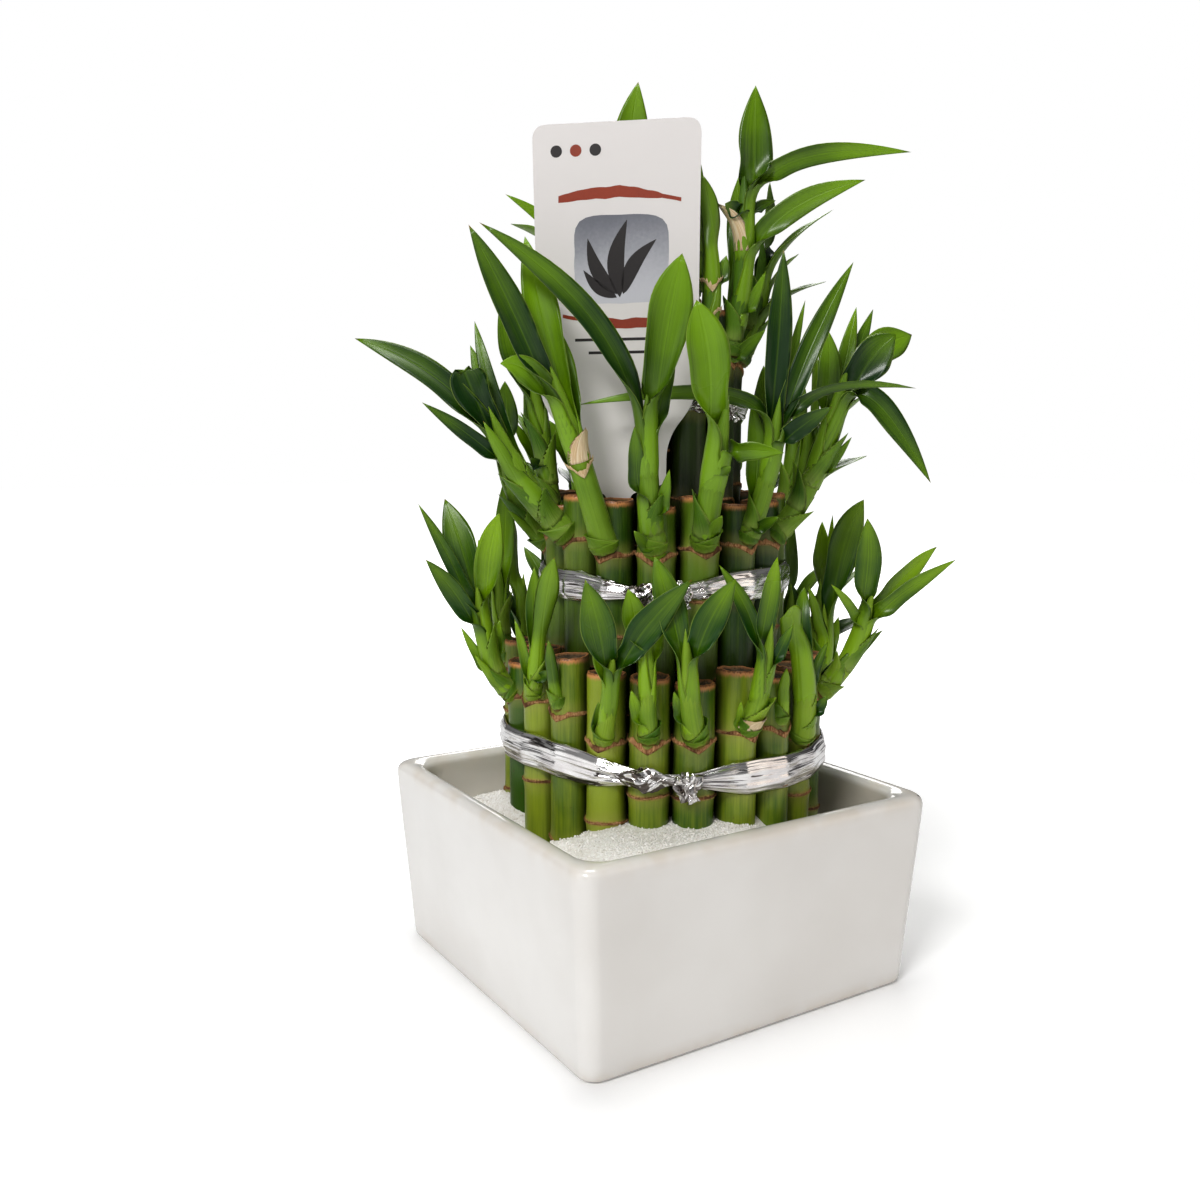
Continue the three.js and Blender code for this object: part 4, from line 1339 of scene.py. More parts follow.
@dataclass
class Cane:
    """A cut cane with its ringed nodes and its shoot."""

    tier: Tier
    number: int
    name: str
    row: Row = field(init=False)
    cut: float = field(init=False)
    spec: ShootSpec = field(init=False)
    tone: float = field(init=False)
    lean: Pair = field(init=False)
    tilt: Pair = field(init=False)
    bud: float = field(init=False)
    rings: tuple[Pair, ...] = field(init=False)

    def __post_init__(self) -> None:
        """Chooses what makes this cane differ from the others of its row."""
        self.row = ROWS[self.tier]
        note = cane_note(self.tier, self.number)
        self.cut = note.cut or self.row.top + 2 * math.sin(2.4 * self.number + self.row.top)
        listed = [item for item in SHOOTS if item.tier is self.tier and item.cane == self.number]
        self.spec = listed[0] if listed else habit_shoot(self.tier, self.number)
        chance = Chance(4211 + 17 * self.number + 3 * self.row.radius)
        drawn = chance.between(0.1, 1.0)
        self.tone = drawn if note.tone is None else note.tone
        self.lean = (chance.between(-1, 1), chance.between(-1, 1))
        self.tilt = (chance.between(-0.05, 0.05), chance.between(-0.05, 0.05))
        turn = math.radians(self.spec.turn)
        self.bud = math.atan2(-math.cos(turn), math.sin(turn))
        low = note.low_ring or self.spec.node - chance.between(*FIRST_RING_GAP)
        found = [(self.spec.node, 0.0)]
        while low > SAND_FLOOR + LOWEST_RING:
            found.append((low, math.pi * (len(found) % 2) + chance.between(-0.8, 0.8)))
            low -= chance.between(*RING_GAP)
        self.rings = tuple(found)

    def build(self, finishes: Sequence[Material], slot: str) -> Object:
        """Makes the cane's piece.

        Args:
            finishes: skin, cut face, shoot, leaf and husk.
            slot: the record's material slot.

        Returns:
            The object.
        """
        piece = Moulder("dressed_" + self.name)
        self.add_stalk(piece)
        for index, (height, turn) in enumerate(self.rings):
            def skin(angle: float, up: float, out: float, height: float = height) -> Vector:
                """Returns a point beside the stalk."""
                return self.skin(angle, height + up, out)

            dip, rise = (1.4, 0.7) if index else (NOTCH_DIP, 1.5)
            Husk(skin, self.bud + turn, dip, rise, height + self.number).add_to(piece)
        Shoot(self.spec).add_to(piece)
        return piece.finish(finishes, slot, [self.name], turned=True)

    def levels(self) -> list[float]:
        """Returns the heights of the stalk's rings of vertices."""
        found = {SAND_FLOOR, self.cut}
        plain = int((self.cut - SAND_FLOOR - 4) / LEVEL_STEP)
        found.update(SAND_FLOOR + step * LEVEL_STEP for step in range(1, plain))
        found.update(height + step for height, _ in self.rings for step in SCAR_LEVELS)
        found.update(self.cut - step for step in RIM_LEVELS)
        return sorted(level for level in found if SAND_FLOOR <= level <= self.cut)

    def scar(self, angle: float, up: float) -> float:
        """Returns the height above the nearest scar, which dips in a V under its bud."""
        best = FAR
        for height, turn in self.rings:
            off = half_turn(angle - self.bud - turn, FULL_TURN)
            dip = 0.3 * math.sin(2 * angle + height + self.number) - NOTCH_DIP * notch(off)
            best = min(best, up - height - dip, key=abs)
        return best

    def shade(self, angle: float, level: float) -> float:
        """Returns how deep a place lies in painted shade, between its neighbours or below the row in front,
        from 0 to 1.
        """
        outward = math.radians(self.row.heading(self.number)) - math.pi / 2
        off = abs(half_turn(angle - outward, FULL_TURN))
        low, high = self.row.shaded
        return max(0.85 * smooth(0.95, 1.6, off), 0.8 * (1 - smooth(low, high, level)))

    def skin(self, angle: float, level: float, out: float = 0.0, share: float = 1.0) -> Vector:
        """Returns a point of the stalk.

        Args:
            angle: angle round it, in radians.
            level: height.
            out: distance off its skin.
            share: share of the way from its axis to its skin.
        """
        row = self.row
        near = self.scar(angle, level)
        girth = row.thick * (1 + 0.012 * math.sin(2 * angle + self.number) + 0.01 * math.sin(0.11 * level))
        girth += (row.ringed - row.thick) * bell(near, 2.4)
        girth += 0.2 * bell(near, 0.6) - 0.12 * bell(near - 1.4, 0.7)
        girth = (girth + out - 0.35 * max(0.0, 1 - (self.cut - level) / 0.8) ** 2) * share
        bowed = 0.35 * math.sin(math.pi * smooth(SAND_FLOOR, self.cut, level))
        out_x, out_y = math.cos(angle) * girth, math.sin(angle) * girth
        slope = (self.tilt[0] * out_x + self.tilt[1] * out_y) * smooth(self.cut - 6, self.cut, level)
        point = row.axis(self.number, level + slope)
        return point + Vector((out_x + self.lean[0] * bowed, out_y + self.lean[1] * bowed, 0))

    def add_stalk(self, piece: Moulder) -> None:
        """Adds the stalk: a skin with raised scars, a rounded rim and a sunken cut face."""
        levels = self.levels()
        lip = len(levels)
        inside = ((0.95, 0.1), (0.89, -0.15), (0.84, -0.7), (0.6, -1.1), (0.3, -1.3), (0.0, -1.2))
        rows = 1 + lip + len(inside)

        def place(u: float, v: float) -> Placed:
            """Returns a point of the stalk."""
            index = round(v * (rows - 1))
            angle = self.bud + math.pi + FULL_TURN * u
            if index == 0:
                return self.skin(angle, SAND_FLOOR, share=0.0), (2 * u - 1, SAND_FLOOR, self.tone)
            level = levels[min(index - 1, lip - 1)]
            share, sunk = inside[index - 1 - lip] if index > lip else (1.0, 0.0)
            point = self.skin(angle, level, share=share)
            torn = 0.5 * noise.noise(Vector((2.6 * math.cos(angle), 2.6 * math.sin(angle), self.number)))
            point.z += sunk + (torn if 0.5 < share < 1 or level == self.cut else 0)
            return point, (2 * u - 1, level, self.tone)

        def marks(u: float, v: float) -> Triple:
            """Returns the distances from the nearest scar and from the rim, and the depth of shade."""
            index = round(v * (rows - 1))
            if index > lip:
                return FAR, self.row.thick * (1 - inside[index - 1 - lip][0]), 0.0
            level = levels[max(0, index - 1)]
            angle = self.bud + math.pi + FULL_TURN * u
            return abs(self.scar(angle, level)), self.cut - level, self.shade(angle, level)

        def paint(_: float, v: float) -> int:
            """Returns the number of the cut face past the rim, and of the skin below it."""
            return Coat.CUT_FACE if v * (rows - 1) > lip else Coat.SKIN

        piece.drape(28, rows - 1, place, paint, marks)


@dataclass(frozen=True)
class TieSpec:
    """Where a ribbon goes round the tower, in mm and degrees.

    Its middle line lies at up, falls towards one side, and rises in a bend, which is a heading, a reach and
    a rise. The rope is the twisted stretch, counted from the heading of the knot. Pressed is how far the
    tag flattens its pleats.
    """

    name: str
    tier: Tier
    up: float
    fall: float
    width: float
    knot: float
    rope: Pair
    bend: Triple = (0.0, 1.0, 0.0)
    pressed: float = 0.0


TIES = (
    TieSpec(
        "tie_lower", OUTER, up=84.6, fall=-2.0, width=11.8, knot=5, rope=(-24, 0), bend=(-48, 21, 2.0)
    ),
    TieSpec(
        "tie_middle", MIDDLE, up=143.4, fall=0.4, width=10.6, knot=4, rope=(-26, 0), bend=(-12, 20, -1.3)
    ),
    TieSpec("tie_upper", INNER, up=202, fall=0, width=9, knot=45, rope=(-34, 0), pressed=0.85),
)
PACKED_WIDTH = 12.5


@dataclass
class FoilTie:
    """A foil ribbon pulled tight round a row of canes, gathered and twisted into a knot."""

    spec: TieSpec
    gap: float = 0.38
    film: float = 0.22

    def path(self) -> list[tuple[Vector, float]]:
        """Returns points of the tight loop with the heading that the ribbon faces at each."""
        row = ROWS[self.spec.tier]
        step = 360 / row.count
        corners: list[tuple[Vector, float]] = []
        for number in range(row.count):
            heading = row.heading(number)
            centre = around(row.radius, heading, 0)
            for share in (-0.5, -0.3, -0.1, 0.1, 0.3, 0.5):
                facing = heading + share * step
                corners.append((centre + around(row.thick + 0.1, facing, 0), facing))
        found = []
        for index, (point, facing) in enumerate(corners):
            found.append((point, facing))
            after = corners[(index + 1) % len(corners)][0]
            if index % 6 == 5:
                found.extend((point.lerp(after, share / 7), facing) for share in range(1, 7))
        return found

    def openness(self, facing: float) -> float:
        """Returns 1 where the ribbon lies flat and 0 where it is gathered beside the knot."""
        off = half_turn(facing - self.spec.knot)
        size = ROWS[OUTER].radius / ROWS[self.spec.tier].radius
        return smooth(-2 * size, 24 * size, off) if off > -8 else smooth(10 * size, 38 * size, -off)

    def middle(self, facing: float) -> float:
        """Returns the height of the ribbon's middle line."""
        heading, reach, rise = self.spec.bend
        tilt = self.spec.fall * math.sin(math.radians(facing))
        return self.spec.up + tilt + rise * bell(half_turn(facing - heading), reach)

    def build(self, foil: Material) -> Object:
        """Makes the ribbon, its twisted length, its knot and its ends."""
        piece = Moulder("ribbon_" + self.spec.name)
        self.add_band(piece)
        self.add_rope(piece)
        self.add_knot(piece)
        row = ROWS[self.spec.tier]
        bmesh.ops.translate(piece.mesh, verts=piece.mesh.verts, vec=Vector((*row.shift, 0)))
        return piece.finish([foil], "foil", [self.spec.name], turned=True)

    def add_band(self, piece: Moulder) -> None:
        """Adds the flat band with its long pleats and creases."""
        path = self.path()
        count = len(path)
        rows = 44

        def place(u: float, v: float) -> Placed:
            """Returns a point of the band's section at a place round the loop."""
            index = round(u * count) % count
            point, facing = path[index]
            heading = math.degrees(math.atan2(point.x, -point.y))
            open_share = self.openness(heading)
            half = self.spec.width * (0.3 + 0.7 * open_share**0.7) / 2
            half *= 1 + 0.06 * noise.noise(Vector((point.x, point.y, 3)) * 0.07)
            cross = folded(v)
            up = self.middle(heading) + half * cross
            drift = noise.noise(Vector((point.x, point.y, 9)) * 0.045)
            pleat = abs(math.sin(3.6 * cross + 2.2 * drift)) + 0.5 * abs(math.sin(8.2 * cross - 3 * drift))
            spot = Vector((point.x * 0.07, point.y * 0.07, 1.3 * cross))
            crease = abs(noise.noise(spot)) * 0.5 + abs(noise.noise(spot * 2.1)) * 0.2
            domed = 0.9 * (1 - cross * cross) * open_share
            flat = self.spec.pressed * (1 - smooth(14, 24, abs(heading + 11)))
            relief = pleat * (0.4 + 0.6 * (1 - open_share)) + crease + domed
            lift = self.gap + relief * (1 - cross**8) * (1 - flat)
            lift += (self.film if v <= 0.5 else 0) * lens(cross)
            return point + around(lift, facing, up), (3 * cross, 400 * u, 0.0)

        piece.drape(count, rows, place)

    def add_rope(self, piece: Moulder) -> None:
        """Adds the length of ribbon that is twisted into a rope beside the knot."""
        row = ROWS[self.spec.tier]
        reach = row.radius + row.thick + 2.0
        start, end = self.spec.rope
        size = self.spec.width / PACKED_WIDTH
        rows = 56

        def place(u: float, v: float) -> Placed:
            """Returns a point of the rope."""
            facing = self.spec.knot + blend(start, end, v)
            along = FULL_TURN * v - 0.5
            swell = smooth(0.0, 0.38, v) * smooth(0.0, 0.06, 1 - v) ** 0.5
            wide = size * (5.0 - 3.1 * smooth(0.3, 0.85, v)) * swell
            slim = size * (3.0 - 1.6 * smooth(0.2, 0.85, v)) * swell
            turn = FULL_TURN * u
            ridge = 0.74 + 0.46 * abs(math.sin(3 * turn + 4.5 * along))
            ridge += 0.16 * noise.noise(Vector((2 * math.cos(turn), 2 * math.sin(turn), 6 * v)))
            flat, thin = wide * ridge * math.cos(turn), slim * ridge * math.sin(turn)
            out = flat * math.sin(along) + thin * math.cos(along)
            up = flat * math.cos(along) - thin * math.sin(along)
            point = around(reach + 0.42 * out, facing, self.middle(facing) + up)
            return point, (2.2 * math.sin(turn + 1.5 * along), 12 * v, 3 + math.cos(turn))

        piece.drape(48, rows, place)

    def add_knot(self, piece: Moulder) -> None:
        """Adds the crumpled knot and the two short ends."""
        row = ROWS[self.spec.tier]
        facing = self.spec.knot
        size = self.spec.width / PACKED_WIDTH
        centre = around(row.radius + row.thick + 2.6, facing, self.middle(facing) - 1.2 * size)
        turn = Matrix.Rotation(math.radians(facing), 4, "Z")
        made = bmesh.ops.create_icosphere(piece.mesh, subdivisions=5, radius=1.0)["verts"]
        for vert in made:
            way = vert.co.normalized()
            folds = abs(noise.noise(way * 1.6 + Vector((facing, 0, 0)))) * 1.15
            folds += abs(noise.noise(way * 3.6)) * 0.22
            vert.co = way * (0.72 + folds)
            vert[piece.grain] = (1.6 * way.x + way.z, 6 * way.z, 2)
            vert.co.x *= 3.6 * size
            vert.co.y *= 2.1 * size
            vert.co.z *= 4.2 * size
        for face in faces_of(made):
            face.smooth = True
        bmesh.ops.transform(piece.mesh, matrix=Matrix.Translation(centre) @ turn, verts=made)
        ends = ((0.6, -1.6, 1.8, -5.6, 2.3), (-1.6, 1.2, -4.4, 2.2, 1.7))
        for index, end in enumerate(ends):
            side, rise, side_end, rise_end, half = (size * item for item in end)
            self.add_end(piece, centre, (side, rise), (side_end, rise_end), half, index)

    def add_end(
        self, piece: Moulder, centre: Vector, start: Pair, end: Pair, half: float, seed: int
    ) -> None:
        """Adds one loose end: a short flared strip with crumpled folds.

        Args:
            piece: the ribbon's piece.
            centre: the knot's middle.
            start: where the strip leaves the knot, sideways and up.
            end: where it ends, sideways and up.
            half: half its width at the flared end.
            seed: chooses its folds.
        """
        facing = self.spec.knot
        across = Vector((end[1] - start[1], 0, start[0] - end[0])).normalized()

        def place(u: float, v: float) -> Placed:
            """Returns a point of the strip."""
            cross = folded(u)
            side, up = (blend(first, last, v) for first, last in zip(start, end))
            wide = half * (0.3 + 0.7 * v) * cross
            lift = 0.5 + 1.2 * math.sin(2.2 * v) + 0.6 * math.sin(3.4 * cross + seed) * v
            lift += 0.5 * noise.noise(Vector((side, up, 7 * cross + seed)) * 0.7)
            lift += (0.12 if u <= 0.5 else -0.12) * lens(cross) * (0 < v < 1)
            flat = Vector((side, -lift, up)) + across * wide
            return centre + Matrix.Rotation(math.radians(facing), 3, "Z") @ flat, (3 * cross, 5 * v, 0.0)

        piece.drape(20, 16, place)


@dataclass
class PlantTag:
    """A flat plastic tag on a pointed stem, with a plain print of its own.

    A corner of its outline is half its width there, its height and the radius that rounds it.
    """

    turn: float = -9.0
    across: float = -12.4
    back: float = 26.3
    thick: float = 0.7
    lean: float = 0.5
    stake_top: float = 173.0
    outline: tuple[Triple, ...] = (
        (4, 134, 2), (4, 173, 2), (16, 176.5, 3), (16.2, 191, 12), (26.3, 204, 9), (27.4, 292, 4.8),
    )

    def contour(self) -> list[Pair]:
        """Returns the tag's outline, each corner rounded by its own radius."""
        corners = [(0.0, 122.0, 0.0), *self.outline]
        corners += [(-x, z, radius) for x, z, radius in reversed(self.outline)]
        found = []
        for index, (x, z, radius) in enumerate(corners):
            here = Vector((x, z))
            before = Vector(corners[index - 1][:2]) - here
            after = Vector(corners[(index + 1) % len(corners)][:2]) - here
            reach = min(radius, 0.45 * before.length, 0.45 * after.length)
            start, end = here + before.normalized() * reach, here + after.normalized() * reach
            for step in range(9 if radius else 1):
                share = step / 8
                found.append(tuple(start.lerp(here, share).lerp(here.lerp(end, share), share)))
        return found

    def place(self) -> Matrix:
        """Returns the turn from the tag's face to the plant's frame."""
        pivot = Vector((0, 0, self.stake_top))
        return (
            Matrix.Rotation(math.radians(self.turn), 4, "Z")
            @ Matrix.Translation(Vector((self.across, -self.back, 0)) + pivot)
            @ Matrix.Rotation(math.radians(-self.lean), 4, "Y")
            @ Matrix.Translation(-pivot)
        )

    def build(self, finishes: Sequence[Material]) -> Object:
        """Makes the tag.

        Args:
            finishes: sheet, warm ink, grey ink and dark ink.

        Returns:
            The object.
        """
        piece = Moulder("printed_tag")
        self.add_slab(piece, self.contour(), 0.0, self.thick - 0.06, Ink.SHEET)
        self.add_print(piece)
        bmesh.ops.transform(piece.mesh, matrix=self.place(), verts=piece.mesh.verts)
        return piece.finish(finishes, "tag", ["tag"], turned=True)

    def add_slab(
        self, piece: Moulder, ring: Sequence[Pair], low: float, high: float, finish: int, fade: float = 0
    ) -> None:
        """Adds a thin flat shape.

        Args:
            piece: the tag's piece.
            ring: its outline, sideways and up.
            low: depth of its back, counted from the tag's back.
            high: depth of its front.
            finish: number of its finish.
            fade: how far its colour fades from top to bottom.
        """
        verts = [piece.mesh.verts.new((x, -low, z)) for x, z in ring]
        face = piece.mesh.faces.new(verts)
        made = bmesh.ops.extrude_face_region(piece.mesh, geom=[face])["geom"]
        raised = verts_in(made)
        bmesh.ops.translate(piece.mesh, verts=raised, vec=(0, low - high, 0))
        tops = [z for _, z in ring]
        for vert in verts + raised:
            vert[piece.marks] = ((max(tops) - vert.co.z) / (max(tops) - min(tops)) * fade, 0, 0)
        for item in faces_of(verts + raised):
            item.material_index = finish
            item.smooth = False

    def sides(
        self, start: Pair, end: Pair, shares: Sequence[float], bow: float, edge: Edge
    ) -> tuple[list[Pair], list[Pair]]:
        """Returns the two sides of a bowed shape.

        Args:
            start: its first end, sideways and up.
            end: its other end.
            shares: where its points lie along it.
            bow: how far its middle bows to one side, as a share of its length.
            edge: gives half its width at a share of its length, for the side 1 or -1.

        Returns:
            Its sides 1 and -1, both from start to end.
        """
        (x0, z0), (x1, z1) = start, end
        length = math.hypot(x1 - x0, z1 - z0)
        nx, nz = (z0 - z1) / length, (x1 - x0) / length
        found: tuple[list[Pair], list[Pair]] = ([], [])
        for hand, side in zip((1, -1), found):
            for share in shares:
                off = bow * length * math.sin(math.pi * share) + hand * edge(share, hand)
                side.append((blend(x0, x1, share) + nx * off, blend(z0, z1, share) + nz * off))
        return found

    def brush(self, start: Pair, end: Pair, wide: float, seed: float) -> list[Pair]:
        """Returns the outline of a brush stroke with ragged sides and tapered ends."""

        def edge(share: float, hand: int) -> float:
            """Returns half the stroke's width."""
            body = wide * (0.35 + 0.65 * math.sin(math.pi * min(1, share * 1.15 + 0.04)) ** 0.5)
            return body * (0.5 + 0.16 * noise.noise(Vector((9 * share, seed, hand * 3.0))))

        right, left = self.sides(start, end, [index / 26 for index in range(27)], 0.06, edge)
        return right + left[::-1]

    def petal(self, root: Pair, tip: Pair, wide: float) -> list[Pair]:
        """Returns the outline of a plain lance-shaped leaf."""

        def edge(share: float, _: int) -> float:
            """Returns half the leaf's width."""
            return wide / 2 * math.sin(math.pi * share**0.8) ** 0.9

        right, left = self.sides(root, tip, [index / 14 for index in range(1, 14)], 0.1, edge)
        return [root] + right + [tip] + left[::-1]

    def add_print(self, piece: Moulder) -> None:
        """Adds a plain print: a grey field, two warm strokes, dark leaves and a few dots and bars."""
        front = self.thick - 0.06
        field_ring = []
        for index in range(48):
            angle = FULL_TURN * index / 48
            out, up = math.cos(angle), math.sin(angle)
            reach = 1 + 0.05 * noise.noise(Vector((2 * out, 2 * up, 5)))
            power = (abs(out) ** 5 + abs(up) ** 5) ** -0.2
            field_ring.append((1.5 + 15.5 * reach * power * out, 249 + 14 * reach * power * up))
        self.add_slab(piece, field_ring, front - 0.02, front + 0.02, Ink.GREY, 0.9)
        strokes = (((-19, 268.5), (21, 267), 3.6, 1.0), ((21.5, 230.5), (-18, 231.5), 3.2, 7.0))
        for stroke in strokes:
            self.add_slab(piece, self.brush(*stroke), front, front + 0.035, Ink.WARM)
        leaves = (
            ((1, 237), (3.5, 261.5), 5.6), ((0, 238), (-9.5, 256), 4.6), ((2, 238), (13, 255), 4.8),
            ((0, 237), (-11, 246), 3.6),
        )
        for shape in leaves:
            self.add_slab(piece, self.petal(*shape), front, front + 0.05, Ink.DARK)
        turns = [FULL_TURN * step / 20 for step in range(20)]
        dot = [(-19.5 + 1.9 * math.cos(turn), 283.5 + 1.9 * math.sin(turn)) for turn in turns]
        for index, ink in enumerate((Ink.DARK, Ink.WARM, Ink.DARK)):
            self.add_slab(piece, [(x + 6.4 * index, z) for x, z in dot], front, front + 0.03, ink)
        for low, half in ((223.2, 15.0), (219.0, 10.5)):
            bar = [(1 - half, low), (1 + half, low), (1 + half, low + 0.9), (1 - half, low + 0.9)]
            self.add_slab(piece, bar, front, front + 0.03, Ink.DARK)


@dataclass
class SquarePot:
    """A square glazed pot: slightly narrower at the foot, with a soft rolled rim.

    Its rings run from under the foot, over the rim and down to the inner floor. Each is half its width,
    its corner radius, its height and how thin the glaze runs there, from 0 to 1.
    """

    rings: tuple[Ring, ...] = (
        (56, 6, 0.9, 0), (61, 6, 0.7, 0), (62.5, 5.4, 0.0, 0.4), (65.0, 5.6, 0.0, 0.8),
        (66.0, 5.8, 0.45, 1), (66.5, 6.0, 1.6, 0.7), (66.8, 6.0, 5, 0), (67.4, 6.1, 14, 0),
        (68.2, 6.1, 26, 0), (69.0, 6.2, 38, 0), (69.8, 6.2, 50, 0), (70.5, 6.3, 60, 0),
        (70.85, 6.4, 65.0, 0.2), (70.8, 6.5, 66.6, 0.6), (70.3, 6.6, 67.9, 1), (69.3, 6.8, 68.7, 1),
        (68.0, 7.2, 69.0, 0.9), (66.4, 8.0, 69.0, 0.8), (65.0, 9.0, 68.6, 0.9), (64.0, 9.8, 67.6, 1),
        (63.4, 10.4, 66.0, 0.8), (63.1, 10.8, 63.5, 0.3), (62.9, 11, 55, 0), (62.6, 11, 42, 0),
        (62.3, 11, 28, 0), (62.0, 11, 14, 0), (60.5, 11, 10.6, 0), (50, 10, 10.2, 0),
    )
    corner_steps: int = 14
    side_steps: int = 16
    foot_middle: float = 0.9
    floor_middle: float = 10.2
    last_outside: int = 20

    def on_square(self, half: float, corner: float, index: int) -> Pair:
        """Returns a point of a rounded square by its number round it."""
        per = self.corner_steps + self.side_steps
        quarter, step = divmod(index % (4 * per), per)
        if step <= self.corner_steps:
            angle = math.pi / 2 * step / self.corner_steps
            x = half - corner + corner * math.cos(angle)
            y = half - corner + corner * math.sin(angle)
        else:
            share = (step - self.corner_steps) / self.side_steps
            x = (half - corner) * (1 - 2 * share)
            y = half
        for _ in range(quarter):
            x, y = -y, x
        return x, y

    def build(self, glaze: Material) -> Object:
        """Makes the pot."""
        piece = Moulder("glazed_pot")
        count = 4 * (self.corner_steps + self.side_steps)
        rows = len(self.rings) + 2

        def place(u: float, v: float) -> Placed:
            """Returns a point of the pot's skin."""
            index = round(v * (rows - 1))
            if index in (0, rows - 1):
                return Vector((0, 0, self.floor_middle if index else self.foot_middle)), (0, 0, 0)
            half, corner, up, _ = self.rings[index - 1]
            x, y = self.on_square(half, corner, round(u * count))
            spot = Vector((x, y, up)) * 0.028
            wobble = Vector((x, y, 0)).normalized() * (0.28 * noise.noise(spot) * smooth(0, 8, up))
            up += 0.12 * noise.noise(spot * 1.7) * smooth(60, 69, up)
            return Vector((x, y, up)) + wobble, (u, v, 0)

        def marks(u: float, v: float) -> Triple:
            """Returns how thin the glaze runs, and 1 inside the pot, where the glaze is painted darker as
            shade.
            """
            index = round(v * (rows - 1))
            thin = 0 if index in (0, rows - 1) else self.rings[index - 1][3]
            return thin, 1.0 if index > self.last_outside else 0.0, 0

        piece.drape(count, rows - 1, place, marks=marks)
        pot = piece.finish([glaze], "pot", ["pot"], turned=False)
        soften = pot.modifiers.new("soften", "SUBSURF")
        soften.levels = soften.render_levels = 1
        return pot


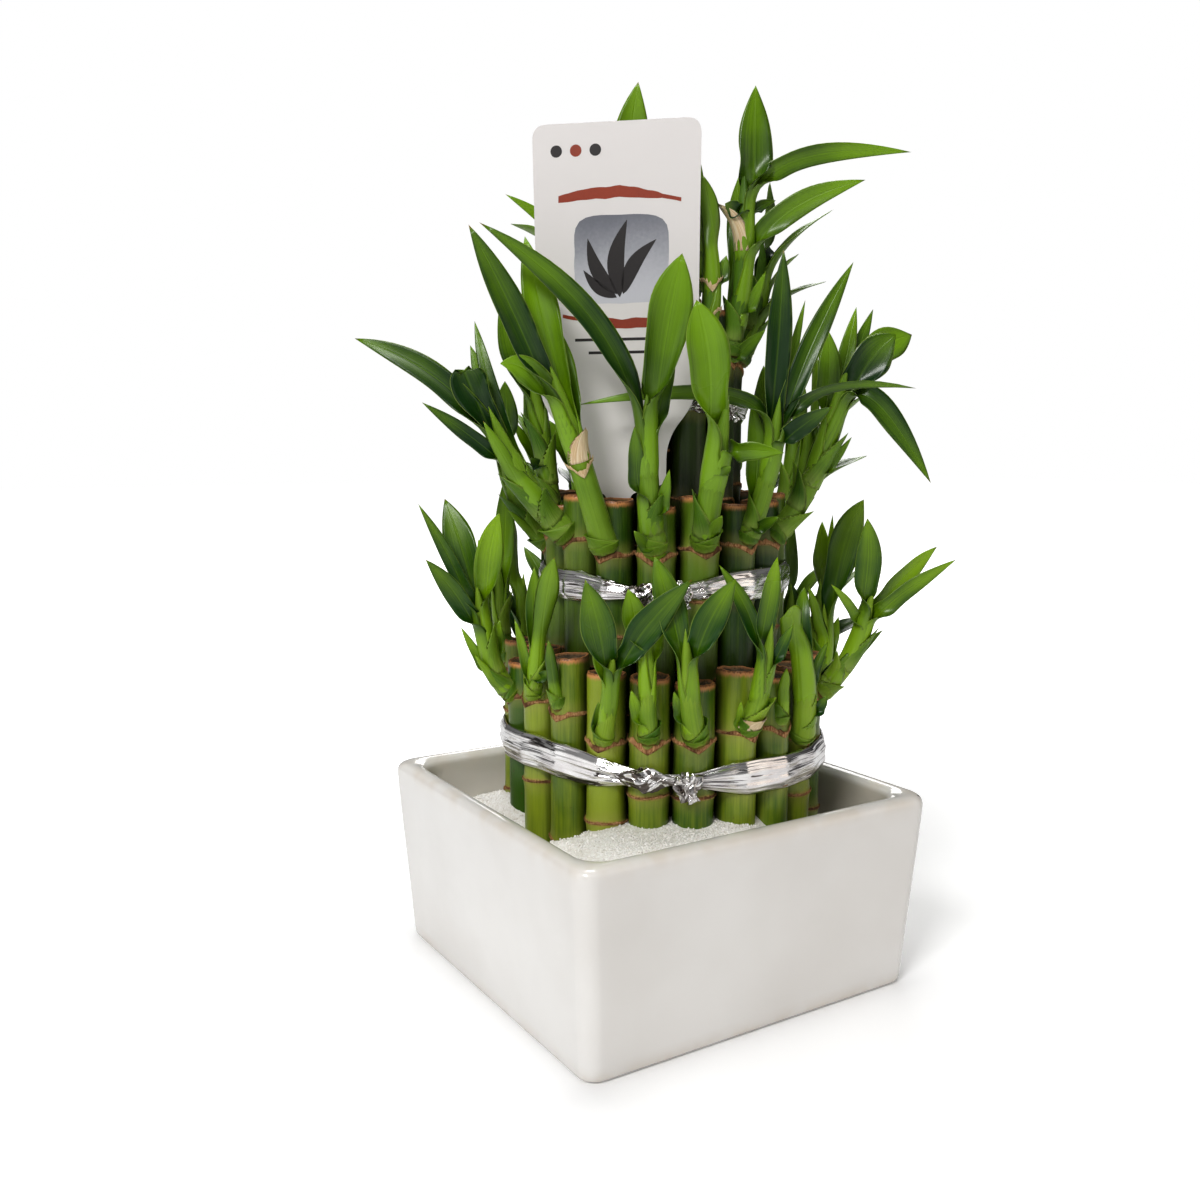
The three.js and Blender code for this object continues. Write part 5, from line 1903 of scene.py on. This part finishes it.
@dataclass
class SandMound:
    """The sand: heaped against the front of the tower, lower along the walls at the sides.

    Its height beside the canes and by the wall is given at headings round the tower.
    """

    inner: float = 42.0
    floor: float = 11.0
    wall: float = 62.95
    corner: float = 11.0
    doublings: int = 12
    grain_gap: float = 10.0
    by_canes: tuple[Pair, ...] = (
        (-180, 58), (-110, 56), (-98, 60), (-88, 64.5), (-74, 65), (-62, 60), (-52, 54), (-38, 55),
        (-27, 65.5), (-16, 68), (32, 68.5), (48, 62), (70, 55), (110, 54), (180, 58),
    )
    by_wall: tuple[Pair, ...] = (
        (-180, 53), (-110, 51), (-90, 53), (-70, 55), (-52, 54), (-40, 57), (-30, 66.5), (-20, 68.3),
        (22, 68.3), (40, 63), (58, 54), (110, 50), (180, 53),
    )

    def read(self, table: Sequence[Pair], heading: float) -> float:
        """Returns a level from a list of headings and heights."""
        for (low, first), (high, second) in zip(table, table[1:]):
            if heading <= high:
                return blend(first, second, smooth(low, high, heading))
        return table[-1][1]

    def reach(self, heading: float) -> float:
        """Returns the distance from the plant's axis to the pot's wall, at the sand's height there."""
        way = around(1, heading, 0)
        way.rotate(Matrix.Rotation(PLANT_TURN, 3, "Z"))
        low, high = 0.0, 130.0
        up = self.read(self.by_wall, heading)
        flare = 0.5 * smooth(60, 66, up) + 0.6 * smooth(66, 67.6, up) + 1.0 * smooth(67.4, 68.6, up)
        half, corner = self.wall + flare, self.corner - flare
        for _ in range(22):
            middle = (low + high) / 2
            x = abs(PLANT_PLACE.x + way.x * middle) - (half - corner)
            y = abs(PLANT_PLACE.y + way.y * middle) - (half - corner)
            inside = max(x, y) <= corner and (x <= 0 or y <= 0 or math.hypot(x, y) <= corner)
            low, high = (middle, high) if inside else (low, middle)
        return low

    def level(self, heading: float, share: float) -> float:
        """Returns the height of the surface at a share of the way from the canes to the wall."""
        heading = half_turn(heading)
        start, end = self.read(self.by_canes, heading), self.read(self.by_wall, heading)
        height = blend(start, end, smooth(0.42, 0.95, share))
        spot = around(self.inner + share * 26, heading, 0)
        height += 0.9 * noise.noise(spot * 0.09) + 0.35 * noise.noise(spot * 0.4)
        return min(height, 68.9)

    def build(self, sand: Material) -> Object:
        """Makes the sand."""
        piece = Moulder("heaped_sand")
        count, steps = 300, 34
        edges = [self.reach(360 * index / count - 180) for index in range(count)]
        rows = steps + 5

        def place(u: float, v: float) -> Placed:
            """Returns a point of the sand's skin."""
            index = round(v * (rows - 1)) % (rows - 1)
            turn = round(u * count) % count
            heading = 360 * turn / count - 180
            edge = edges[turn] + 0.05
            if index == 0:
                return around(self.inner, heading, self.floor), (u, v, 0)
            if index <= steps + 1:
                share = (index - 1) / steps
                out = blend(self.inner, edge, share)
                return around(out, heading, self.level(heading, share)), (u, v, 0)
            share = (index - steps - 1) / 2
            up = blend(self.level(heading, 1.0), self.floor, share)
            return around(edge - 0.6 * share, heading, up), (u, v, 0)

        piece.drape(count, rows - 1, place)
        self.add_grains(piece, edges)
        return piece.finish([sand], "sand", ["sand"], turned=True)

    def add_grains(self, piece: Moulder, edges: Sequence[float]) -> None:
        """Scatters loose grains: one ball is doubled into a row, then each goes to its spot."""
        made = bmesh.ops.create_icosphere(piece.mesh, subdivisions=1, radius=1.0)["verts"]
        geometry = list(made) + list(faces_of(made))
        for doubling in range(self.doublings):
            copy = bmesh.ops.duplicate(piece.mesh, geom=geometry)["geom"]
            away = (self.grain_gap * 2**doubling, 0, 0)
            bmesh.ops.translate(piece.mesh, verts=verts_in(copy), vec=away)
            geometry += [item for item in copy if not isinstance(item, bmesh.types.BMEdge)]
        chance = Chance(271)
        spots = [self.grain_spot(chance, edges) for _ in range(2**self.doublings)]
        for vert in verts_in(geometry):
            number = round(vert.co.x / self.grain_gap)
            middle, turn, size, flat = spots[number]
            x, y, z = vert.co
            local = Vector((x - self.grain_gap * number, y * flat, z * (0.6 + 0.4 * flat)))
            vert.co = middle + turn @ local * size

    def grain_spot(self, chance: Chance, edges: Sequence[float]) -> tuple[Vector, Matrix, float, float]:
        """Returns the place, the turn, the size and the flatness of a loose grain."""
        heading = chance.between(-150, 60) if chance() < 0.85 else chance.between(-180, 180)
        share = 0.12 + 0.88 * chance() ** 0.8
        edge = edges[int((heading + 180) / 360 * len(edges)) % len(edges)] - 0.6
        size = chance.between(0.16, 0.42)
        out = blend(self.inner, edge, share)
        middle = around(out, heading, self.level(heading, share) + 0.4 * size)
        turn = Matrix.Rotation(ABOUT_A_TURN * chance(), 3, Vector((chance() - 0.5, chance() - 0.5, 0.6)))
        return middle, turn, size, chance.between(0.55, 1.0)


@dataclass(frozen=True)
class Lamp:
    """A soft square light that looks at the plant: its place and size in metres, power and colour."""

    name: str
    place: Triple
    size: float
    power: float
    colour: Triple = (1.0, 1.0, 1.0)


LAMPS = (
    Lamp("key", (-1.2, -0.75, 1.3), size=0.45, power=18.0),
    Lamp("fill", (0.84, -1.2, 0.4), size=1.0, power=3.1, colour=(1.0, 0.91, 0.82)),
    Lamp("front", (-0.8, -1.25, 0.5), size=0.8, power=1.3),
    Lamp("left", (-1.55, -0.1, 0.4), size=0.8, power=1.8),
    Lamp("top", (0.0, 0.1, 1.6), size=0.5, power=8.0),
    Lamp("back", (0.9, 1.3, 0.9), size=0.7, power=6.0),
)


@dataclass
class Studio:
    """The stand-in room: a pale floor, soft lights and the camera."""

    camera_place: Triple = (-0.23296, -0.33992, 0.18984)
    camera_turn: float = -32.0
    camera_dip: float = 7.71
    lens: float = 34.68

    def build(self) -> None:
        """Makes the floor, the lights and the camera."""
        self.add_camera()
        self.add_floor()
        for lamp in LAMPS:
            self.add_lamp(lamp)
        self.add_room()
        view = bpy.context.scene.view_settings
        view.view_transform = "Standard"
        view.gamma = 0.88

    def add_room(self) -> None:
        """Adds the pale room: white to the eye, with a bright ceiling and a dimmer wall in front."""
        world = bpy.data.worlds.new("pale_room")
        world.use_nodes = True
        bench = Bench(world.node_tree)
        sky = bench.tree.nodes["Background"]
        parts = bench.node("SeparateXYZ", Vector=bench.node("TexCoord").outputs["Generated"])
        lift = bench.step(parts.outputs["Z"], -0.05, 0.55, 0.08, 0.3, soft=False)
        side = bench.step(parts.outputs["X"], -1.0, 0.9, 1.0, 0.6, soft=False)
        bench.feed(sky.inputs["Color"], (1.0, 1.0, 1.0, 1.0))
        bench.feed(sky.inputs["Strength"], bench.math("MAXIMUM", bench.times(lift, side), bench.seen()))
        bpy.context.scene.world = world

    def add_camera(self) -> None:
        """Adds the camera at the photograph's viewing angle."""
        data = bpy.data.cameras.new("camera")
        data.lens = self.lens
        data.sensor_width = 36.0
        data.clip_start = 0.01
        camera = show("camera", data)
        turn, dip = math.radians(self.camera_turn), math.radians(self.camera_dip)
        way = Vector((-math.sin(turn) * math.cos(dip), math.cos(turn) * math.cos(dip), -math.sin(dip)))
        camera.location = self.camera_place
        camera.rotation_euler = way.to_track_quat("-Z", "Y").to_euler()
        bpy.context.scene.camera = camera

    def add_floor(self) -> None:
        """Adds a plain pale floor."""
        mesh = bmesh.new()
        bmesh.ops.create_grid(mesh, x_segments=2, y_segments=2, size=5.0)
        bmesh.ops.translate(mesh, verts=mesh.verts, vec=(0, 0, -0.0004))
        data = bpy.data.meshes.new("floor")
        mesh.to_mesh(data)
        mesh.free()
        box = Paintbox("pale_floor")
        cloud = box.noise(box.place(), 3.0, 2)
        colour = box.layers(srgb(250, 250, 250), (cloud, srgb(244, 244, 244)))
        parts = box.node("SeparateXYZ", Vector=box.place())
        squares = [box.math("POWER", parts.outputs[axis], 2) for axis in (0, 1)]
        far = box.math("SQRT", box.plus(*squares))
        glow = box.times(box.step(far, 0.1, 0.55, 0.15, 1.0), box.seen())
        data.materials.append(
            box.dress(Base_Color=colour, Roughness=0.85, Emission_Color=colour, Emission_Strength=glow)
        )
        floor = show("floor", data)
        floor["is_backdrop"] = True

    def add_lamp(self, lamp: Lamp) -> None:
        """Adds one of the lights."""
        data = bpy.data.lights.new(lamp.name, "AREA")
        data.shape = "SQUARE"
        data.size = lamp.size
        data.energy = lamp.power
        data.color = lamp.colour
        light = show(lamp.name, data)
        light.location = Vector(lamp.place)
        light.rotation_euler = (Vector((0, 0, 0.14)) - light.location).to_track_quat("-Z", "Y").to_euler()


def main() -> None:
    """Builds every piece in order."""
    logging.basicConfig(level=logging.INFO, format="%(name)s %(message)s")
    Studio().build()
    husk = HuskFinish().build()
    young = [
        CaneFinish("young_cane_skin", srgb(142, 158, 38), srgb(56, 92, 10)).build(),
        CutFinish().build(),
        ShootFinish("young_shoot", srgb(140, 170, 46), srgb(66, 110, 18)).build(),
        LeafFinish("young_leaf", srgb(138, 176, 12), srgb(22, 66, 2)).build(),
        husk,
    ]
    old = [
        CaneFinish("old_cane_skin", srgb(98, 126, 28), srgb(34, 66, 8)).build(),
        CutFinish("cut_face_old").build(),
        ShootFinish("old_shoot", srgb(122, 156, 38), srgb(52, 94, 12)).build(),
        LeafFinish("old_leaf", srgb(120, 160, 12), srgb(14, 52, 3)).build(),
        husk,
    ]
    # darker copies of the old cane and shoot finishes for the inner and core canes: painted shade for canes
    # in the shadow of the leaves and the tag in front
    shade_darkened_finishes = [
        CaneFinish("hidden_cane_skin", srgb(56, 78, 20), srgb(14, 32, 5)).build(),
        old[1],
        ShootFinish("shade_darkened_shoot", srgb(96, 134, 32), srgb(28, 64, 10)).build(),
        *old[3:],
    ]
    dressing = {OUTER: young, MIDDLE: old, INNER: shade_darkened_finishes, CORE: shade_darkened_finishes}
    for tier, row in ROWS.items():
        for index in range(row.count):
            number = index - row.count if index > row.count / 2 else index
            digits = 2 if row.count > 9 else 1
            name = f"cane_{tier.value}_{index + 1:0{digits}d}"
            slot = "young_cane" if tier is OUTER else "old_cane"
            Cane(tier, number, name).build(dressing[tier], slot)
    foil = FoilFinish().build()
    for spec in TIES:
        FoilTie(spec).build(foil)
    PlantTag().build(
        [
            PlasticFinish("tag_sheet", srgb(219, 215, 213), srgb(206, 202, 199)).build(),
            PlasticFinish("warm_ink", srgb(150, 62, 38), srgb(122, 46, 30), 0.5).build(),
            PlasticFinish("grey_ink", srgb(112, 114, 122), srgb(196, 196, 202), 0.15).build(),
            PlasticFinish("dark_ink", srgb(44, 40, 40), srgb(60, 54, 54), 0.3).build(),
        ]
    )
    SquarePot().build(GlazeFinish().build())
    SandMound().build(SandFinish().build())
    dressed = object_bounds()
    [[list(map(float, corner)) for corner in box] for box in (FRAME_BOX, dressed)]
    log.info("frame %s, dressed %s", FRAME_BOX, dressed)


if __name__ == "__main__":
    main()
